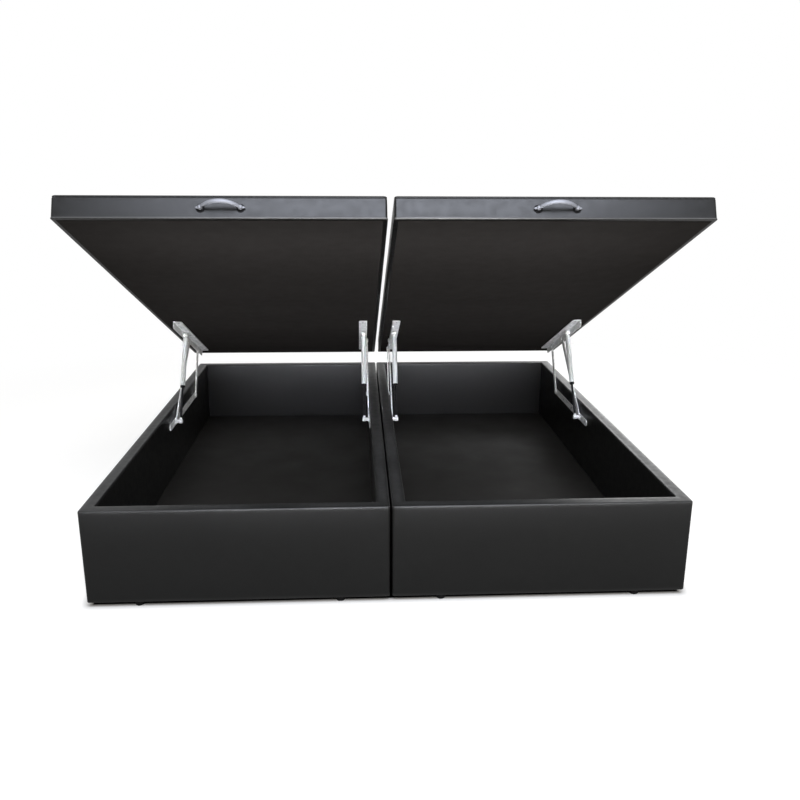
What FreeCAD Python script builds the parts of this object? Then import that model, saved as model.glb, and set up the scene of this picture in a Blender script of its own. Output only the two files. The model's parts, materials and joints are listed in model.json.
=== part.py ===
"""Split storage bed base: two upholstered trays side by side, each under a lid that a pair of
link mechanisms with gas struts lifts up and forward. Millimetres, +Z up, front towards -Y, floor at Z 0.
The lids stand open. The right half is modelled and the left half is its mirror image about X 0."""
import FreeCAD, Part
import math
import os
import Sketcher
from FreeCAD import Placement, Rotation, Vector

doc = FreeCAD.newDocument("StorageBedBase")

# Driving dimensions
SIZES = {
    # the pair of halves on the floor
    "bed_width": 1930,
    "bed_length": 2030,
    "middle_gap": 6,
    "foot_height": 20,
    "foot_radius": 15,
    "foot_bevel": 2,
    "foot_flange_radius": 18,
    "foot_flange": 3,
    "foot_side_inset": 160,
    "foot_end_inset": 26,
    # tray: boards wrapped in padded leatherette
    "box_height": 312,
    "board_thickness": 28,
    "wall_padding": 8,
    "corner_radius": 10,
    "rim_radius": 5,
    "floor_thickness": 6,
    "joist_height": 16,
    "joist_width": 60,
    # lid: rails, ribs and deck under padded leatherette, lining below
    "lid_thickness": 72,
    "lid_outer_inset": 1,
    "lid_inner_inset": 7,
    "lid_side_padding": 8,
    "lid_top_padding": 14,
    "lid_edge_radius": 6,
    "lid_hem_radius": 3,
    "hem_width": 40,
    "hem_thickness": 2,
    "lining_thickness": 1,
    "lining_inset": 12,
    "deck_thickness": 9,
    "side_rail_width": 84,
    "end_rail_width": 40,
    "rib_width": 30,
    "rib_count": 5,
    # lift mechanism: pivots given for the closed lid, along the bed from its back end
    "lid_tilt": 22.95,
    "closed_gap": 1,
    "base_pivot_drop": 68,
    "rear_base_pivot": 415,
    "front_base_pivot": 863,
    "lid_pivot_drop": 18,
    "rear_lid_pivot": 182,
    "front_lid_pivot": 392,
    "strut_lid_pivot": 552,
    "link_width": 25,
    "link_thickness": 5,
    "side_play": 0.3,
    "pin_radius": 5,
    "pin_play": 0.05,
    "press_play": 0.02,
    "rivet_head_radius": 8,
    "rivet_head": 2.5,
    "pin_head_radius": 9,
    # steel bars that carry the pivots
    "base_bar_width": 28,
    "base_bar_thickness": 4,
    "base_bar_front_tail": 96,
    "tip_screw_inset": 14,
    "lid_bar_start": 90,
    "lid_bar_end": 745,
    "lid_bar_leg": 30,
    "lid_bar_flange": 36,
    "lid_bar_thickness": 3,
    "lid_bar_nose": 12,
    "end_screw_inset": 28,
    # gas strut
    "eye_thickness": 12,
    "eye_radius": 10,
    "strut_offset": 25,
    "cylinder_radius": 11,
    "cylinder_wall": 1.5,
    "cylinder_length": 234,
    "cylinder_end_wall": 6,
    "gland_length": 9,
    "strut_bevel": 2,
    "neck_radius": 5.5,
    "neck_length": 16,
    "rod_radius": 5,
    "rod_inside": 40,
    "piston_length": 14,
    # bow handle
    "handle_spacing": 114,
    "handle_height": 32,
    "handle_post_radius": 8.5,
    "handle_flange_radius": 11,
    "handle_flange": 2,
    "handle_waist": 2,
    "handle_rise": 27,
    "handle_lean": 22,
    "grip_width": 20,
    "grip_depth": 9,
    "grip_end_share": 0.62,
    # wood screws and machine screws
    "screw_radius": 2.2,
    "screw_head_radius": 4.2,
    "screw_length": 22,
    "screw_play": 0.2,
    "handle_screw_radius": 2,
    "handle_screw_head_radius": 4,
    "handle_screw_head": 3,
    "handle_screw_bite": 8,
}

FOOT_ROWS = 3
BASE_JOISTS = 5
PIVOT_BAYS = 3
GRIP_SECTIONS = 9

sheet = doc.addObject("Spreadsheet::Sheet", "Sizes")
for row, (alias, number) in enumerate(SIZES.items(), 1):
    sheet.set(f"A{row}", alias)
    sheet.set(f"B{row}", str(number))
    sheet.setAlias(f"B{row}", alias)
doc.recompute()


def size(alias):
    """The number in one cell of the sheet of sizes."""
    return float(getattr(sheet, alias))


def open_lid():
    """Place and angles of the linkage with the lid open, in the upright plane along the bed (Y, Z).

    The closed lid lies flat on the rim and fixes both links' lengths. The open lid has the given tilt, so
    its rear pivot lies on the rear link's circle and on the front link's circle moved by the pivot spacing.
    """
    back = size("bed_length") / 2
    rim = size("foot_height") + size("box_height")
    tilt = math.radians(size("lid_tilt"))
    drop = size("lid_pivot_drop")
    rear, front, strut = size("rear_lid_pivot"), size("front_lid_pivot"), size("strut_lid_pivot")
    pivot_z = rim - size("base_pivot_drop")
    rear_base = Vector(0, back - size("rear_base_pivot"), pivot_z)
    front_base = Vector(0, back - size("front_base_pivot"), pivot_z)
    closed_z = rim + size("closed_gap") - drop
    rear_length = (Vector(0, back - rear, closed_z) - rear_base).Length
    front_length = (Vector(0, back - front, closed_z) - front_base).Length
    along = Vector(0, -math.cos(tilt), math.sin(tilt))
    up = Vector(0, math.sin(tilt), math.cos(tilt))
    moved = front_base - along * (front - rear)
    span = moved - rear_base
    reach = (span.Length ** 2 + rear_length ** 2 - front_length ** 2) / (2 * span.Length)
    side = math.sqrt(rear_length ** 2 - reach ** 2)
    direction = span / span.Length
    normal = Vector(0, direction.z, -direction.y)
    rear_lid = rear_base + direction * reach + normal * side
    front_lid = rear_lid + along * (front - rear)
    strut_lid = rear_lid + along * (strut - rear)
    corner = rear_lid - along * rear + up * drop
    return {
        "lid_y": corner.y,
        "lid_z": corner.z,
        "pivot_z": pivot_z,
        "rear_base_y": rear_base.y,
        "front_base_y": front_base.y,
        "rear_link_length": rear_length,
        "front_link_length": front_length,
        "rear_link_angle": math.degrees(math.atan2(rear_lid.z - pivot_z, rear_lid.y - rear_base.y)),
        "front_link_angle": math.degrees(math.atan2(front_lid.z - pivot_z, front_lid.y - front_base.y)),
        "strut_length": (strut_lid - front_base).Length,
        "strut_angle": math.degrees(math.atan2(strut_lid.z - pivot_z, strut_lid.y - front_base.y)),
    }


LINKAGE = open_lid()
linkage_sheet = doc.addObject("Spreadsheet::Sheet", "Linkage")
for row, (alias, number) in enumerate(LINKAGE.items(), 1):
    linkage_sheet.set(f"A{row}", alias)
    linkage_sheet.set(f"B{row}", str(number))
    linkage_sheet.setAlias(f"B{row}", alias)
doc.recompute()

# Formulas that several pieces share
WALL = "(Sizes.board_thickness + 2 * Sizes.wall_padding)"
HALF_WIDTH = "((Sizes.bed_width - Sizes.middle_gap) / 2)"
INNER_SIDE = "(Sizes.middle_gap / 2)"
HALF_MIDDLE = f"({INNER_SIDE} + {HALF_WIDTH} / 2)"
FRONT = "(-Sizes.bed_length / 2)"
BOARD_IN = "(Sizes.wall_padding + Sizes.board_thickness)"
FLOOR_RISE = "(Sizes.joist_height + Sizes.floor_thickness)"
TRAY_FACE = f"({INNER_SIDE} + {WALL})"
LID_WIDTH = f"({HALF_WIDTH} - Sizes.lid_outer_inset - Sizes.lid_inner_inset)"
LID_SIDE = f"({INNER_SIDE} + Sizes.lid_inner_inset)"
LID_MIDDLE = f"({LID_SIDE} + {LID_WIDTH} / 2)"
RAIL_BOTTOM = "(Sizes.lining_thickness + Sizes.hem_thickness)"
RAIL_HEIGHT = (
    f"(Sizes.lid_thickness - {RAIL_BOTTOM} - Sizes.deck_thickness - Sizes.lid_top_padding)"
)
# lanes of the mechanism, measured from the tray wall's inner face towards the middle of the tray
LINK_LANE = "(Sizes.base_bar_thickness + Sizes.side_play)"
LINK_END = f"({LINK_LANE} + Sizes.link_thickness)"
LEG_LANE = f"({LINK_END} + Sizes.side_play)"
LEG_END = f"({LEG_LANE} + Sizes.lid_bar_thickness)"
EYE_LANE = "(Sizes.strut_offset - Sizes.eye_thickness / 2)"
EYE_END = f"({EYE_LANE} + Sizes.eye_thickness)"
POST_LENGTH = "(Sizes.handle_flange + Sizes.handle_post_radius)"


def value(formula):
    """The number that a formula on the sheets gives."""
    return float(sheet_reader.evalExpression(formula))


sheet_reader = doc.addObject("App::FeaturePython", "Reader")


def block(name, lengths, corner):
    """A sawn board: its lengths along X, Y, Z and its lowest corner, as formulas."""
    board = doc.addObject("Part::Box", name)
    for prop, formula in zip(("Length", "Width", "Height"), lengths):
        board.setExpression(prop, formula)
    for axis, formula in zip("xyz", corner):
        board.setExpression(f"Placement.Base.{axis}", formula)
    return board


def new_body(name, corner=None):
    """An empty body, with its origin at the corner that the formulas give, if any."""
    body = doc.addObject("PartDesign::Body", name)
    for axis, formula in zip("xyz", corner or ()):
        body.setExpression(f"Placement.Base.{axis}", formula)
    return body


def new_sketch(body, role):
    """A sketch on one of the body's own origin planes."""
    sketch = body.newObject("Sketcher::SketchObject", f"{body.Name}_sketch")
    origin_plane = next(item for item in body.Origin.OriginFeatures if item.Role == role)
    sketch.AttachmentSupport = [(origin_plane, "")]
    sketch.MapMode = "FlatFace"
    return sketch


def bind(sketch, constraint, formula):
    """Add a dimension to the sketch and tie it to a formula."""
    index = sketch.addConstraint(constraint)
    sketch.setExpression(f"Constraints[{index}]", formula)


def pin_point(sketch, geometry, point, across, along):
    """Fix a point of the sketch by its distances from the origin; "0" puts it on the axis."""
    if across == "0":
        sketch.addConstraint(Sketcher.Constraint("PointOnObject", geometry, point, -2))
    else:
        start = value(across)
        bind(sketch, Sketcher.Constraint("DistanceX", -1, 1, geometry, point, start), across)
    if along == "0":
        sketch.addConstraint(Sketcher.Constraint("PointOnObject", geometry, point, -1))
    else:
        start = value(along)
        bind(sketch, Sketcher.Constraint("DistanceY", -1, 1, geometry, point, start), along)


def add_polygon(sketch, corners):
    """A closed outline through corners given as pairs of formulas."""
    points = [Vector(value(across), value(along), 0) for across, along in corners]
    count = len(points)
    first = sketch.GeometryCount
    for index in range(count):
        sketch.addGeometry(Part.LineSegment(points[index], points[(index + 1) % count]))
    for index in range(count):
        after = first + (index + 1) % count
        sketch.addConstraint(Sketcher.Constraint("Coincident", first + index, 2, after, 1))
    for index, (across, along) in enumerate(corners):
        pin_point(sketch, first + index, 1, across, along)


def add_rectangle(sketch, low, high):
    """An upright rectangle between two opposite corners."""
    add_polygon(sketch, [low, (high[0], low[1]), high, (low[0], high[1])])


def add_circle(sketch, across, along, radius):
    """A circle by its centre and radius, as formulas."""
    centre = Vector(value(across), value(along), 0)
    index = sketch.addGeometry(Part.Circle(centre, Vector(0, 0, 1), value(radius)))
    pin_point(sketch, index, 3, across, along)
    bind(sketch, Sketcher.Constraint("Radius", index, value(radius)), radius)


def add_slot(sketch, length, width):
    """A bar's outline with full round ends, the first end centred on the sketch's origin."""
    reach, radius = value(length), value(width) / 2
    axis = Vector(0, 0, 1)
    near = Part.ArcOfCircle(Part.Circle(Vector(0, 0, 0), axis, radius), math.pi / 2, 3 * math.pi / 2)
    far = Part.ArcOfCircle(Part.Circle(Vector(reach, 0, 0), axis, radius), -math.pi / 2, math.pi / 2)
    low = Part.LineSegment(Vector(0, -radius, 0), Vector(reach, -radius, 0))
    high = Part.LineSegment(Vector(reach, radius, 0), Vector(0, radius, 0))
    ring = [sketch.addGeometry(item) for item in (near, low, far, high)]
    for index, item in enumerate(ring):
        sketch.addConstraint(Sketcher.Constraint("Tangent", item, 2, ring[(index + 1) % 4], 1))
    sketch.addConstraint(Sketcher.Constraint("Coincident", ring[0], 3, -1, 1))
    sketch.addConstraint(Sketcher.Constraint("PointOnObject", ring[2], 3, -1))
    bind(sketch, Sketcher.Constraint("DistanceX", -1, 1, ring[2], 3, reach), length)
    bind(sketch, Sketcher.Constraint("Radius", ring[0], radius), f"({width}) / 2")


def pad(body, sketch, length, reverse=False):
    """Raise a sketch to a solid, by a formula."""
    feature = body.newObject("PartDesign::Pad", f"{body.Name}_pad")
    feature.Profile = sketch
    feature.Reversed = reverse
    feature.setExpression("Length", length)
    doc.recompute()
    return feature


def pocket(body, sketch, length, reverse=True):
    """Cut a sketch out of the body, and make sure that it did cut."""
    before = body.Shape.Volume
    feature = body.newObject("PartDesign::Pocket", f"{body.Name}_pocket")
    feature.Profile = sketch
    feature.Reversed = reverse
    feature.setExpression("Length", length)
    doc.recompute()
    if not body.Shape.Volume < before:
        raise RuntimeError(f"{feature.Label} cuts nothing")
    return feature


def dress(body, kind, amount, chosen):
    """Fillet or chamfer the edges of the body's last feature that the chosen test accepts."""
    base = body.Tip
    names = [f"Edge{number}" for number, edge in enumerate(base.Shape.Edges, 1) if chosen(edge)]
    if not names:
        raise RuntimeError(f"{body.Label} has no such edge")
    feature = body.newObject(f"PartDesign::{kind}", f"{body.Name}_{kind.lower()}")
    feature.Base = (base, names)
    feature.setExpression("Radius" if kind == "Fillet" else "Size", amount)
    doc.recompute()
    return feature


def upright(edge):
    """True for a straight edge along Z."""
    return len(edge.Vertexes) == 2 and abs(edge.tangentAt(edge.FirstParameter).z) > 0.999


def level_at(edge, height):
    """True for an edge that lies at one height."""
    return edge.BoundBox.ZLength < 1e-6 and abs(edge.BoundBox.ZMin - height) < 1e-6


def round_hole_at(edge, axis, place, radius):
    """True for a circle of that radius in the plane where the axis has that place."""
    box = edge.BoundBox
    flat = getattr(box, f"{axis}Length") < 1e-6 and abs(getattr(box, f"{axis}Min") - place) < 1e-6
    return flat and len(edge.Vertexes) == 1 and abs(edge.Length - 2 * math.pi * radius) < 1e-4


def turned(name, outline, corner=None):
    """A piece turned about its X axis: corners as (distance along the axis, radius) formulas."""
    body = new_body(name, corner)
    sketch = new_sketch(body, "XY_Plane")
    add_polygon(sketch, outline)
    feature = body.newObject("PartDesign::Revolution", f"{name}_turn")
    feature.Profile = sketch
    feature.ReferenceAxis = (sketch, ["H_Axis"])
    feature.Angle = 360
    doc.recompute()
    return body


def mirrored(name, source, middle):
    """The mirror image of a piece about an upright plane across X, placed by a formula."""
    image = doc.addObject("Part::Mirroring", name)
    image.Source = source
    image.Normal = Vector(1, 0, 0)
    image.setExpression("Base.x", middle)
    return image


def pair(piece):
    """A piece of the mechanism on the tray's inner side and its image on the outer side."""
    return [piece, mirrored(f"{piece.Name}_outer", piece, HALF_MIDDLE)]


NODES = {}


def node(label, pieces, pose=None):
    """A named sub-part of the right half, from one or more solids, moved to its pose."""
    group = doc.addObject("Part::Compound", f"right_{label}")
    group.Label = f"right_{label}"
    group.Links = pieces
    if pose:
        group.Placement = pose
    NODES[group.Label] = group


def about_x(angle, y_place, z_place):
    """A pose turned about X by an angle in degrees, with the origin moved in the Y, Z plane."""
    return Placement(Vector(0, y_place, z_place), Rotation(Vector(1, 0, 0), angle))


LID_POSE = about_x(-size("lid_tilt"), LINKAGE["lid_y"], LINKAGE["lid_z"])
REAR_LINK_POSE = about_x(LINKAGE["rear_link_angle"], LINKAGE["rear_base_y"], LINKAGE["pivot_z"])
FRONT_LINK_POSE = about_x(LINKAGE["front_link_angle"], LINKAGE["front_base_y"], LINKAGE["pivot_z"])
STRUT_POSE = about_x(LINKAGE["strut_angle"], LINKAGE["front_base_y"], LINKAGE["pivot_z"])


def tray_boards():
    """Four upright boards: the side boards run through, the end boards stand between them."""
    height = "Sizes.box_height - Sizes.wall_padding"
    long_side = "Sizes.bed_length - 2 * Sizes.wall_padding"
    side = block(
        "side_board",
        ("Sizes.board_thickness", long_side, height),
        (f"{INNER_SIDE} + Sizes.wall_padding", f"{FRONT} + Sizes.wall_padding", "Sizes.foot_height"),
    )
    node("side_boards", pair(side))
    across = f"{HALF_WIDTH} - 2 * {BOARD_IN}"
    ends = []
    for name, place in (
        ("front_board", f"{FRONT} + Sizes.wall_padding"),
        ("rear_board", f"-{FRONT} - {BOARD_IN}"),
    ):
        corner = (f"{INNER_SIDE} + {BOARD_IN}", place, "Sizes.foot_height")
        ends.append(block(name, (across, "Sizes.board_thickness", height), corner))
    node("end_boards", ends)


def tray_floor():
    """Thin panel on cross joists between the boards."""
    across = f"{HALF_WIDTH} - 2 * {BOARD_IN}"
    inside = f"(Sizes.bed_length - 2 * {BOARD_IN})"
    corner_x = f"{INNER_SIDE} + {BOARD_IN}"
    panel = block(
        "floor_board",
        (across, inside, "Sizes.floor_thickness"),
        (corner_x, f"{FRONT} + {BOARD_IN}", "Sizes.foot_height + Sizes.joist_height"),
    )
    node("floor_panel", [panel])
    joists = []
    for index in range(BASE_JOISTS):
        share = index / (BASE_JOISTS - 1)
        place = f"{FRONT} + {BOARD_IN} + {share} * ({inside} - Sizes.joist_width)"
        lengths = (across, "Sizes.joist_width", "Sizes.joist_height")
        joists.append(block(f"joist_{index}", lengths, (corner_x, place, "Sizes.foot_height")))
    node("floor_joists", joists)


def tray_cover():
    """Padded skin of the tray: outside, over the rim and down the inside to the floor panel."""
    body = new_body("tray_skin", (INNER_SIDE, FRONT, "Sizes.foot_height"))
    far_x, far_y = HALF_WIDTH, "Sizes.bed_length"
    outline = new_sketch(body, "XY_Plane")
    add_rectangle(outline, ("0", "0"), (far_x, far_y))
    pad(body, outline, "Sizes.box_height")
    dress(body, "Fillet", "Sizes.corner_radius", upright)
    well = new_sketch(body, "XY_Plane")
    add_rectangle(well, (WALL, WALL), (f"{far_x} - {WALL}", f"{far_y} - {WALL}"))
    pocket(body, well, "Sizes.box_height")
    top = size("box_height")
    dress(body, "Fillet", "Sizes.rim_radius", lambda edge: level_at(edge, top))
    under = new_sketch(body, "XY_Plane")
    add_rectangle(under, (BOARD_IN, BOARD_IN), (f"{far_x} - {BOARD_IN}", f"{far_y} - {BOARD_IN}"))
    pocket(body, under, FLOOR_RISE)
    groove = new_sketch(body, "XY_Plane")
    skin = "Sizes.wall_padding"
    add_rectangle(groove, (skin, skin), (f"{far_x} - {skin}", f"{far_y} - {skin}"))
    add_rectangle(groove, (BOARD_IN, BOARD_IN), (f"{far_x} - {BOARD_IN}", f"{far_y} - {BOARD_IN}"))
    pocket(body, groove, "Sizes.box_height - Sizes.wall_padding")
    node("base_cover", [body])


def tray_feet():
    """Turned plastic feet in rows of two, the end rows under the end boards."""
    radius, flange = "Sizes.foot_radius", "Sizes.foot_flange_radius"
    shoulder = "(Sizes.foot_height - Sizes.foot_flange)"
    feet = []
    for index in range(FOOT_ROWS):
        share = index / (FOOT_ROWS - 1)
        run = "(Sizes.bed_length - 2 * Sizes.foot_end_inset)"
        place = f"{FRONT} + Sizes.foot_end_inset + {share} * {run}"
        corner = (f"{INNER_SIDE} + Sizes.foot_side_inset", place, "0")
        outline = [
            ("0", "0"), ("0", f"{radius} - Sizes.foot_bevel"), ("Sizes.foot_bevel", radius),
            (f"{shoulder} - Sizes.foot_bevel", radius), (shoulder, flange),
            ("Sizes.foot_height", flange), ("Sizes.foot_height", "0"),
        ]
        foot = turned(f"foot_{index}", outline, corner)
        foot.Placement.Rotation = Rotation(Vector(0, 1, 0), -90)
        feet += pair(foot)
    node("feet", feet)


def base_bars():
    """Flat steel bar on the tray's side wall, with pin holes and countersunk screw holes."""
    corner = (
        TRAY_FACE,
        "Linkage.front_base_y - Sizes.base_bar_front_tail",
        "Linkage.pivot_z",
    )
    body = new_body("base_bar", corner)
    outline = new_sketch(body, "YZ_Plane")
    front = "Sizes.base_bar_front_tail"
    spacing = "(Sizes.front_base_pivot - Sizes.rear_base_pivot)"
    rear = f"({front} + {spacing})"
    screw_places = ["Sizes.tip_screw_inset"]
    for bay in range(1, PIVOT_BAYS):
        screw_places.append(f"({front} + {bay} / {PIVOT_BAYS} * {spacing})")
    add_slot(outline, rear, "Sizes.base_bar_width")
    for place in (front, rear):
        add_circle(outline, place, "0", "Sizes.pin_radius + Sizes.press_play")
    for place in screw_places:
        add_circle(outline, place, "0", "Sizes.screw_radius")
    pad(body, outline, "Sizes.base_bar_thickness")
    thickness, hole = size("base_bar_thickness"), size("screw_radius")
    sink = "Sizes.screw_head_radius - Sizes.screw_radius"
    dress(body, "Chamfer", sink, lambda edge: round_hole_at(edge, "X", thickness, hole))
    node("base_bars", pair(body))
    screws = []
    for index, place in enumerate(screw_places):
        seat = (
            f"{TRAY_FACE} + Sizes.base_bar_thickness",
            f"{corner[1]} + {place}",
            corner[2],
        )
        screw = countersunk_screw(f"base_screw_{index}", seat)
        screw.Placement.Rotation = Rotation(Vector(0, 0, 1), 180)
        screws += pair(screw)
    node("base_bar_screws", screws)


def countersunk_screw(name, seat):
    """Countersunk wood screw along X with its flat head at the seat."""
    head = "(Sizes.screw_head_radius - Sizes.screw_play)"
    shank = "(Sizes.screw_radius - Sizes.screw_play)"
    outline = [
        ("0", "0"), ("0", head), (f"{head} - {shank}", shank),
        ("Sizes.screw_length", shank), ("Sizes.screw_length", "0"),
    ]
    return turned(name, outline, seat)


def base_pins():
    """Pivot pins fixed in the base bar: the front one also carries the strut's lower eye."""
    pin, head = "Sizes.pin_radius", "Sizes.pin_head_radius"
    rear_outline = [
        ("0", "0"), ("0", pin), (LEG_LANE, pin), (LEG_LANE, head),
        (f"{LEG_LANE} + Sizes.rivet_head", head), (f"{LEG_LANE} + Sizes.rivet_head", "0"),
    ]
    rear = turned("rear_base_pin", rear_outline, (TRAY_FACE, "Linkage.rear_base_y", "Linkage.pivot_z"))
    collar_end = f"({EYE_LANE} - Sizes.side_play)"
    head_start = f"({EYE_END} + Sizes.side_play)"
    front_outline = [
        ("0", "0"), ("0", pin), (LEG_LANE, pin), (LEG_LANE, "Sizes.rivet_head_radius"),
        (collar_end, "Sizes.rivet_head_radius"), (collar_end, pin), (head_start, pin),
        (head_start, head), (f"{head_start} + Sizes.rivet_head", head),
        (f"{head_start} + Sizes.rivet_head", "0"),
    ]
    front = turned("front_base_pin", front_outline, (TRAY_FACE, "Linkage.front_base_y", "Linkage.pivot_z"))
    node("base_pivot_pins", pair(rear) + pair(front))


def flat_link(name, length, far_play):
    """Flat steel link: a round-ended bar with a running hole at its base end and one at its lid end."""
    body = new_body(name, (f"{TRAY_FACE} + {LINK_LANE}", "0", "0"))
    outline = new_sketch(body, "YZ_Plane")
    add_slot(outline, length, "Sizes.link_width")
    add_circle(outline, "0", "0", "Sizes.pin_radius + Sizes.pin_play")
    add_circle(outline, length, "0", f"Sizes.pin_radius + Sizes.{far_play}")
    pad(body, outline, "Sizes.link_thickness")
    return body


def links():
    """Rear and front links; the front link's upper rivet stays in the link."""
    rear = flat_link("rear_link", "Linkage.rear_link_length", "pin_play")
    node("rear_links", pair(rear), REAR_LINK_POSE)
    front = flat_link("front_link", "Linkage.front_link_length", "press_play")
    node("front_links", pair(front), FRONT_LINK_POSE)
    pin, head = "Sizes.pin_radius", "Sizes.rivet_head_radius"
    outline = [
        ("0", "0"), ("0", head), ("Sizes.rivet_head", head), ("Sizes.rivet_head", pin),
        ("Sizes.rivet_head + Sizes.link_thickness", pin),
        ("Sizes.rivet_head + Sizes.link_thickness", "0"),
    ]
    seat = (f"{TRAY_FACE} + {LINK_LANE} - Sizes.rivet_head", "Linkage.front_link_length", "0")
    node("front_link_rivets", pair(turned("front_rivet", outline, seat)), FRONT_LINK_POSE)


def lid_woodwork():
    """Side rails, end rails, cross ribs and the deck that carries the mattress, in the closed lid's frame.

    The frame's origin is the middle of the bed at the lid's back lower edge, with the lid towards -Y.
    """
    skin = "Sizes.lid_side_padding"
    run = f"(Sizes.bed_length - 2 * {skin})"
    near_y = f"(-Sizes.bed_length + {skin})"
    left_x = f"({LID_SIDE} + {skin})"
    right_x = f"({LID_SIDE} + {LID_WIDTH} - {skin} - Sizes.side_rail_width)"
    rails = []
    for name, place in (("inner_rail", left_x), ("outer_rail", right_x)):
        lengths = ("Sizes.side_rail_width", run, RAIL_HEIGHT)
        rails.append(block(name, lengths, (place, near_y, RAIL_BOTTOM)))
    node("lid_side_rails", rails, LID_POSE)
    between = f"({LID_WIDTH} - 2 * {skin} - 2 * Sizes.side_rail_width)"
    start_x = f"({left_x} + Sizes.side_rail_width)"
    ends = []
    for name, place in (("front_rail", near_y), ("rear_rail", f"-{skin} - Sizes.end_rail_width")):
        lengths = (between, "Sizes.end_rail_width", RAIL_HEIGHT)
        ends.append(block(name, lengths, (start_x, place, RAIL_BOTTOM)))
    node("lid_end_rails", ends, LID_POSE)
    inner_run = f"({run} - 2 * Sizes.end_rail_width)"
    ribs = []
    for index in range(int(size("rib_count"))):
        share = (index + 1) / (size("rib_count") + 1)
        place = f"{near_y} + Sizes.end_rail_width + {share} * {inner_run} - Sizes.rib_width / 2"
        lengths = (between, "Sizes.rib_width", RAIL_HEIGHT)
        ribs.append(block(f"rib_{index}", lengths, (start_x, place, RAIL_BOTTOM)))
    node("lid_ribs", ribs, LID_POSE)
    deck = block(
        "deck",
        (f"{LID_WIDTH} - 2 * {skin}", run, "Sizes.deck_thickness"),
        (left_x, near_y, f"{RAIL_BOTTOM} + {RAIL_HEIGHT}"),
    )
    node("lid_deck", [deck], LID_POSE)


def lid_cover():
    """Padded skin of the lid: top, four edges and a hem turned under the frame."""
    body = new_body("lid_skin", (LID_SIDE, "-Sizes.bed_length", "Sizes.lining_thickness"))
    far_x, far_y = LID_WIDTH, "Sizes.bed_length"
    outline = new_sketch(body, "XY_Plane")
    add_rectangle(outline, ("0", "0"), (far_x, far_y))
    pad(body, outline, "Sizes.lid_thickness - Sizes.lining_thickness")
    dress(body, "Fillet", "Sizes.corner_radius", upright)
    top = size("lid_thickness") - size("lining_thickness")
    dress(body, "Fillet", "Sizes.lid_edge_radius", lambda edge: level_at(edge, top))
    dress(body, "Fillet", "Sizes.lid_hem_radius", lambda edge: level_at(edge, 0))
    mouth = new_sketch(body, "XY_Plane")
    add_rectangle(
        mouth,
        ("Sizes.hem_width", "Sizes.hem_width"),
        (f"{far_x} - Sizes.hem_width", f"{far_y} - Sizes.hem_width"),
    )
    pocket(body, mouth, "Sizes.hem_thickness")
    skin = "Sizes.lid_side_padding"
    hollow = block(
        "lid_hollow",
        (f"{far_x} - 2 * {skin}", f"{far_y} - 2 * {skin}", f"{RAIL_HEIGHT} + Sizes.deck_thickness"),
        (f"{LID_SIDE} + {skin}", f"-Sizes.bed_length + {skin}", RAIL_BOTTOM),
    )
    shell = doc.addObject("Part::Cut", "lid_shell")
    shell.Base = body
    shell.Tool = hollow
    node("lid_cover", [shell], LID_POSE)
    lining = block(
        "lining",
        (
            f"{LID_WIDTH} - 2 * Sizes.lining_inset",
            "Sizes.bed_length - 2 * Sizes.lining_inset",
            "Sizes.lining_thickness",
        ),
        (f"{LID_SIDE} + Sizes.lining_inset", "-Sizes.bed_length + Sizes.lining_inset", "0"),
    )
    node("lid_lining", [lining], LID_POSE)


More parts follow.
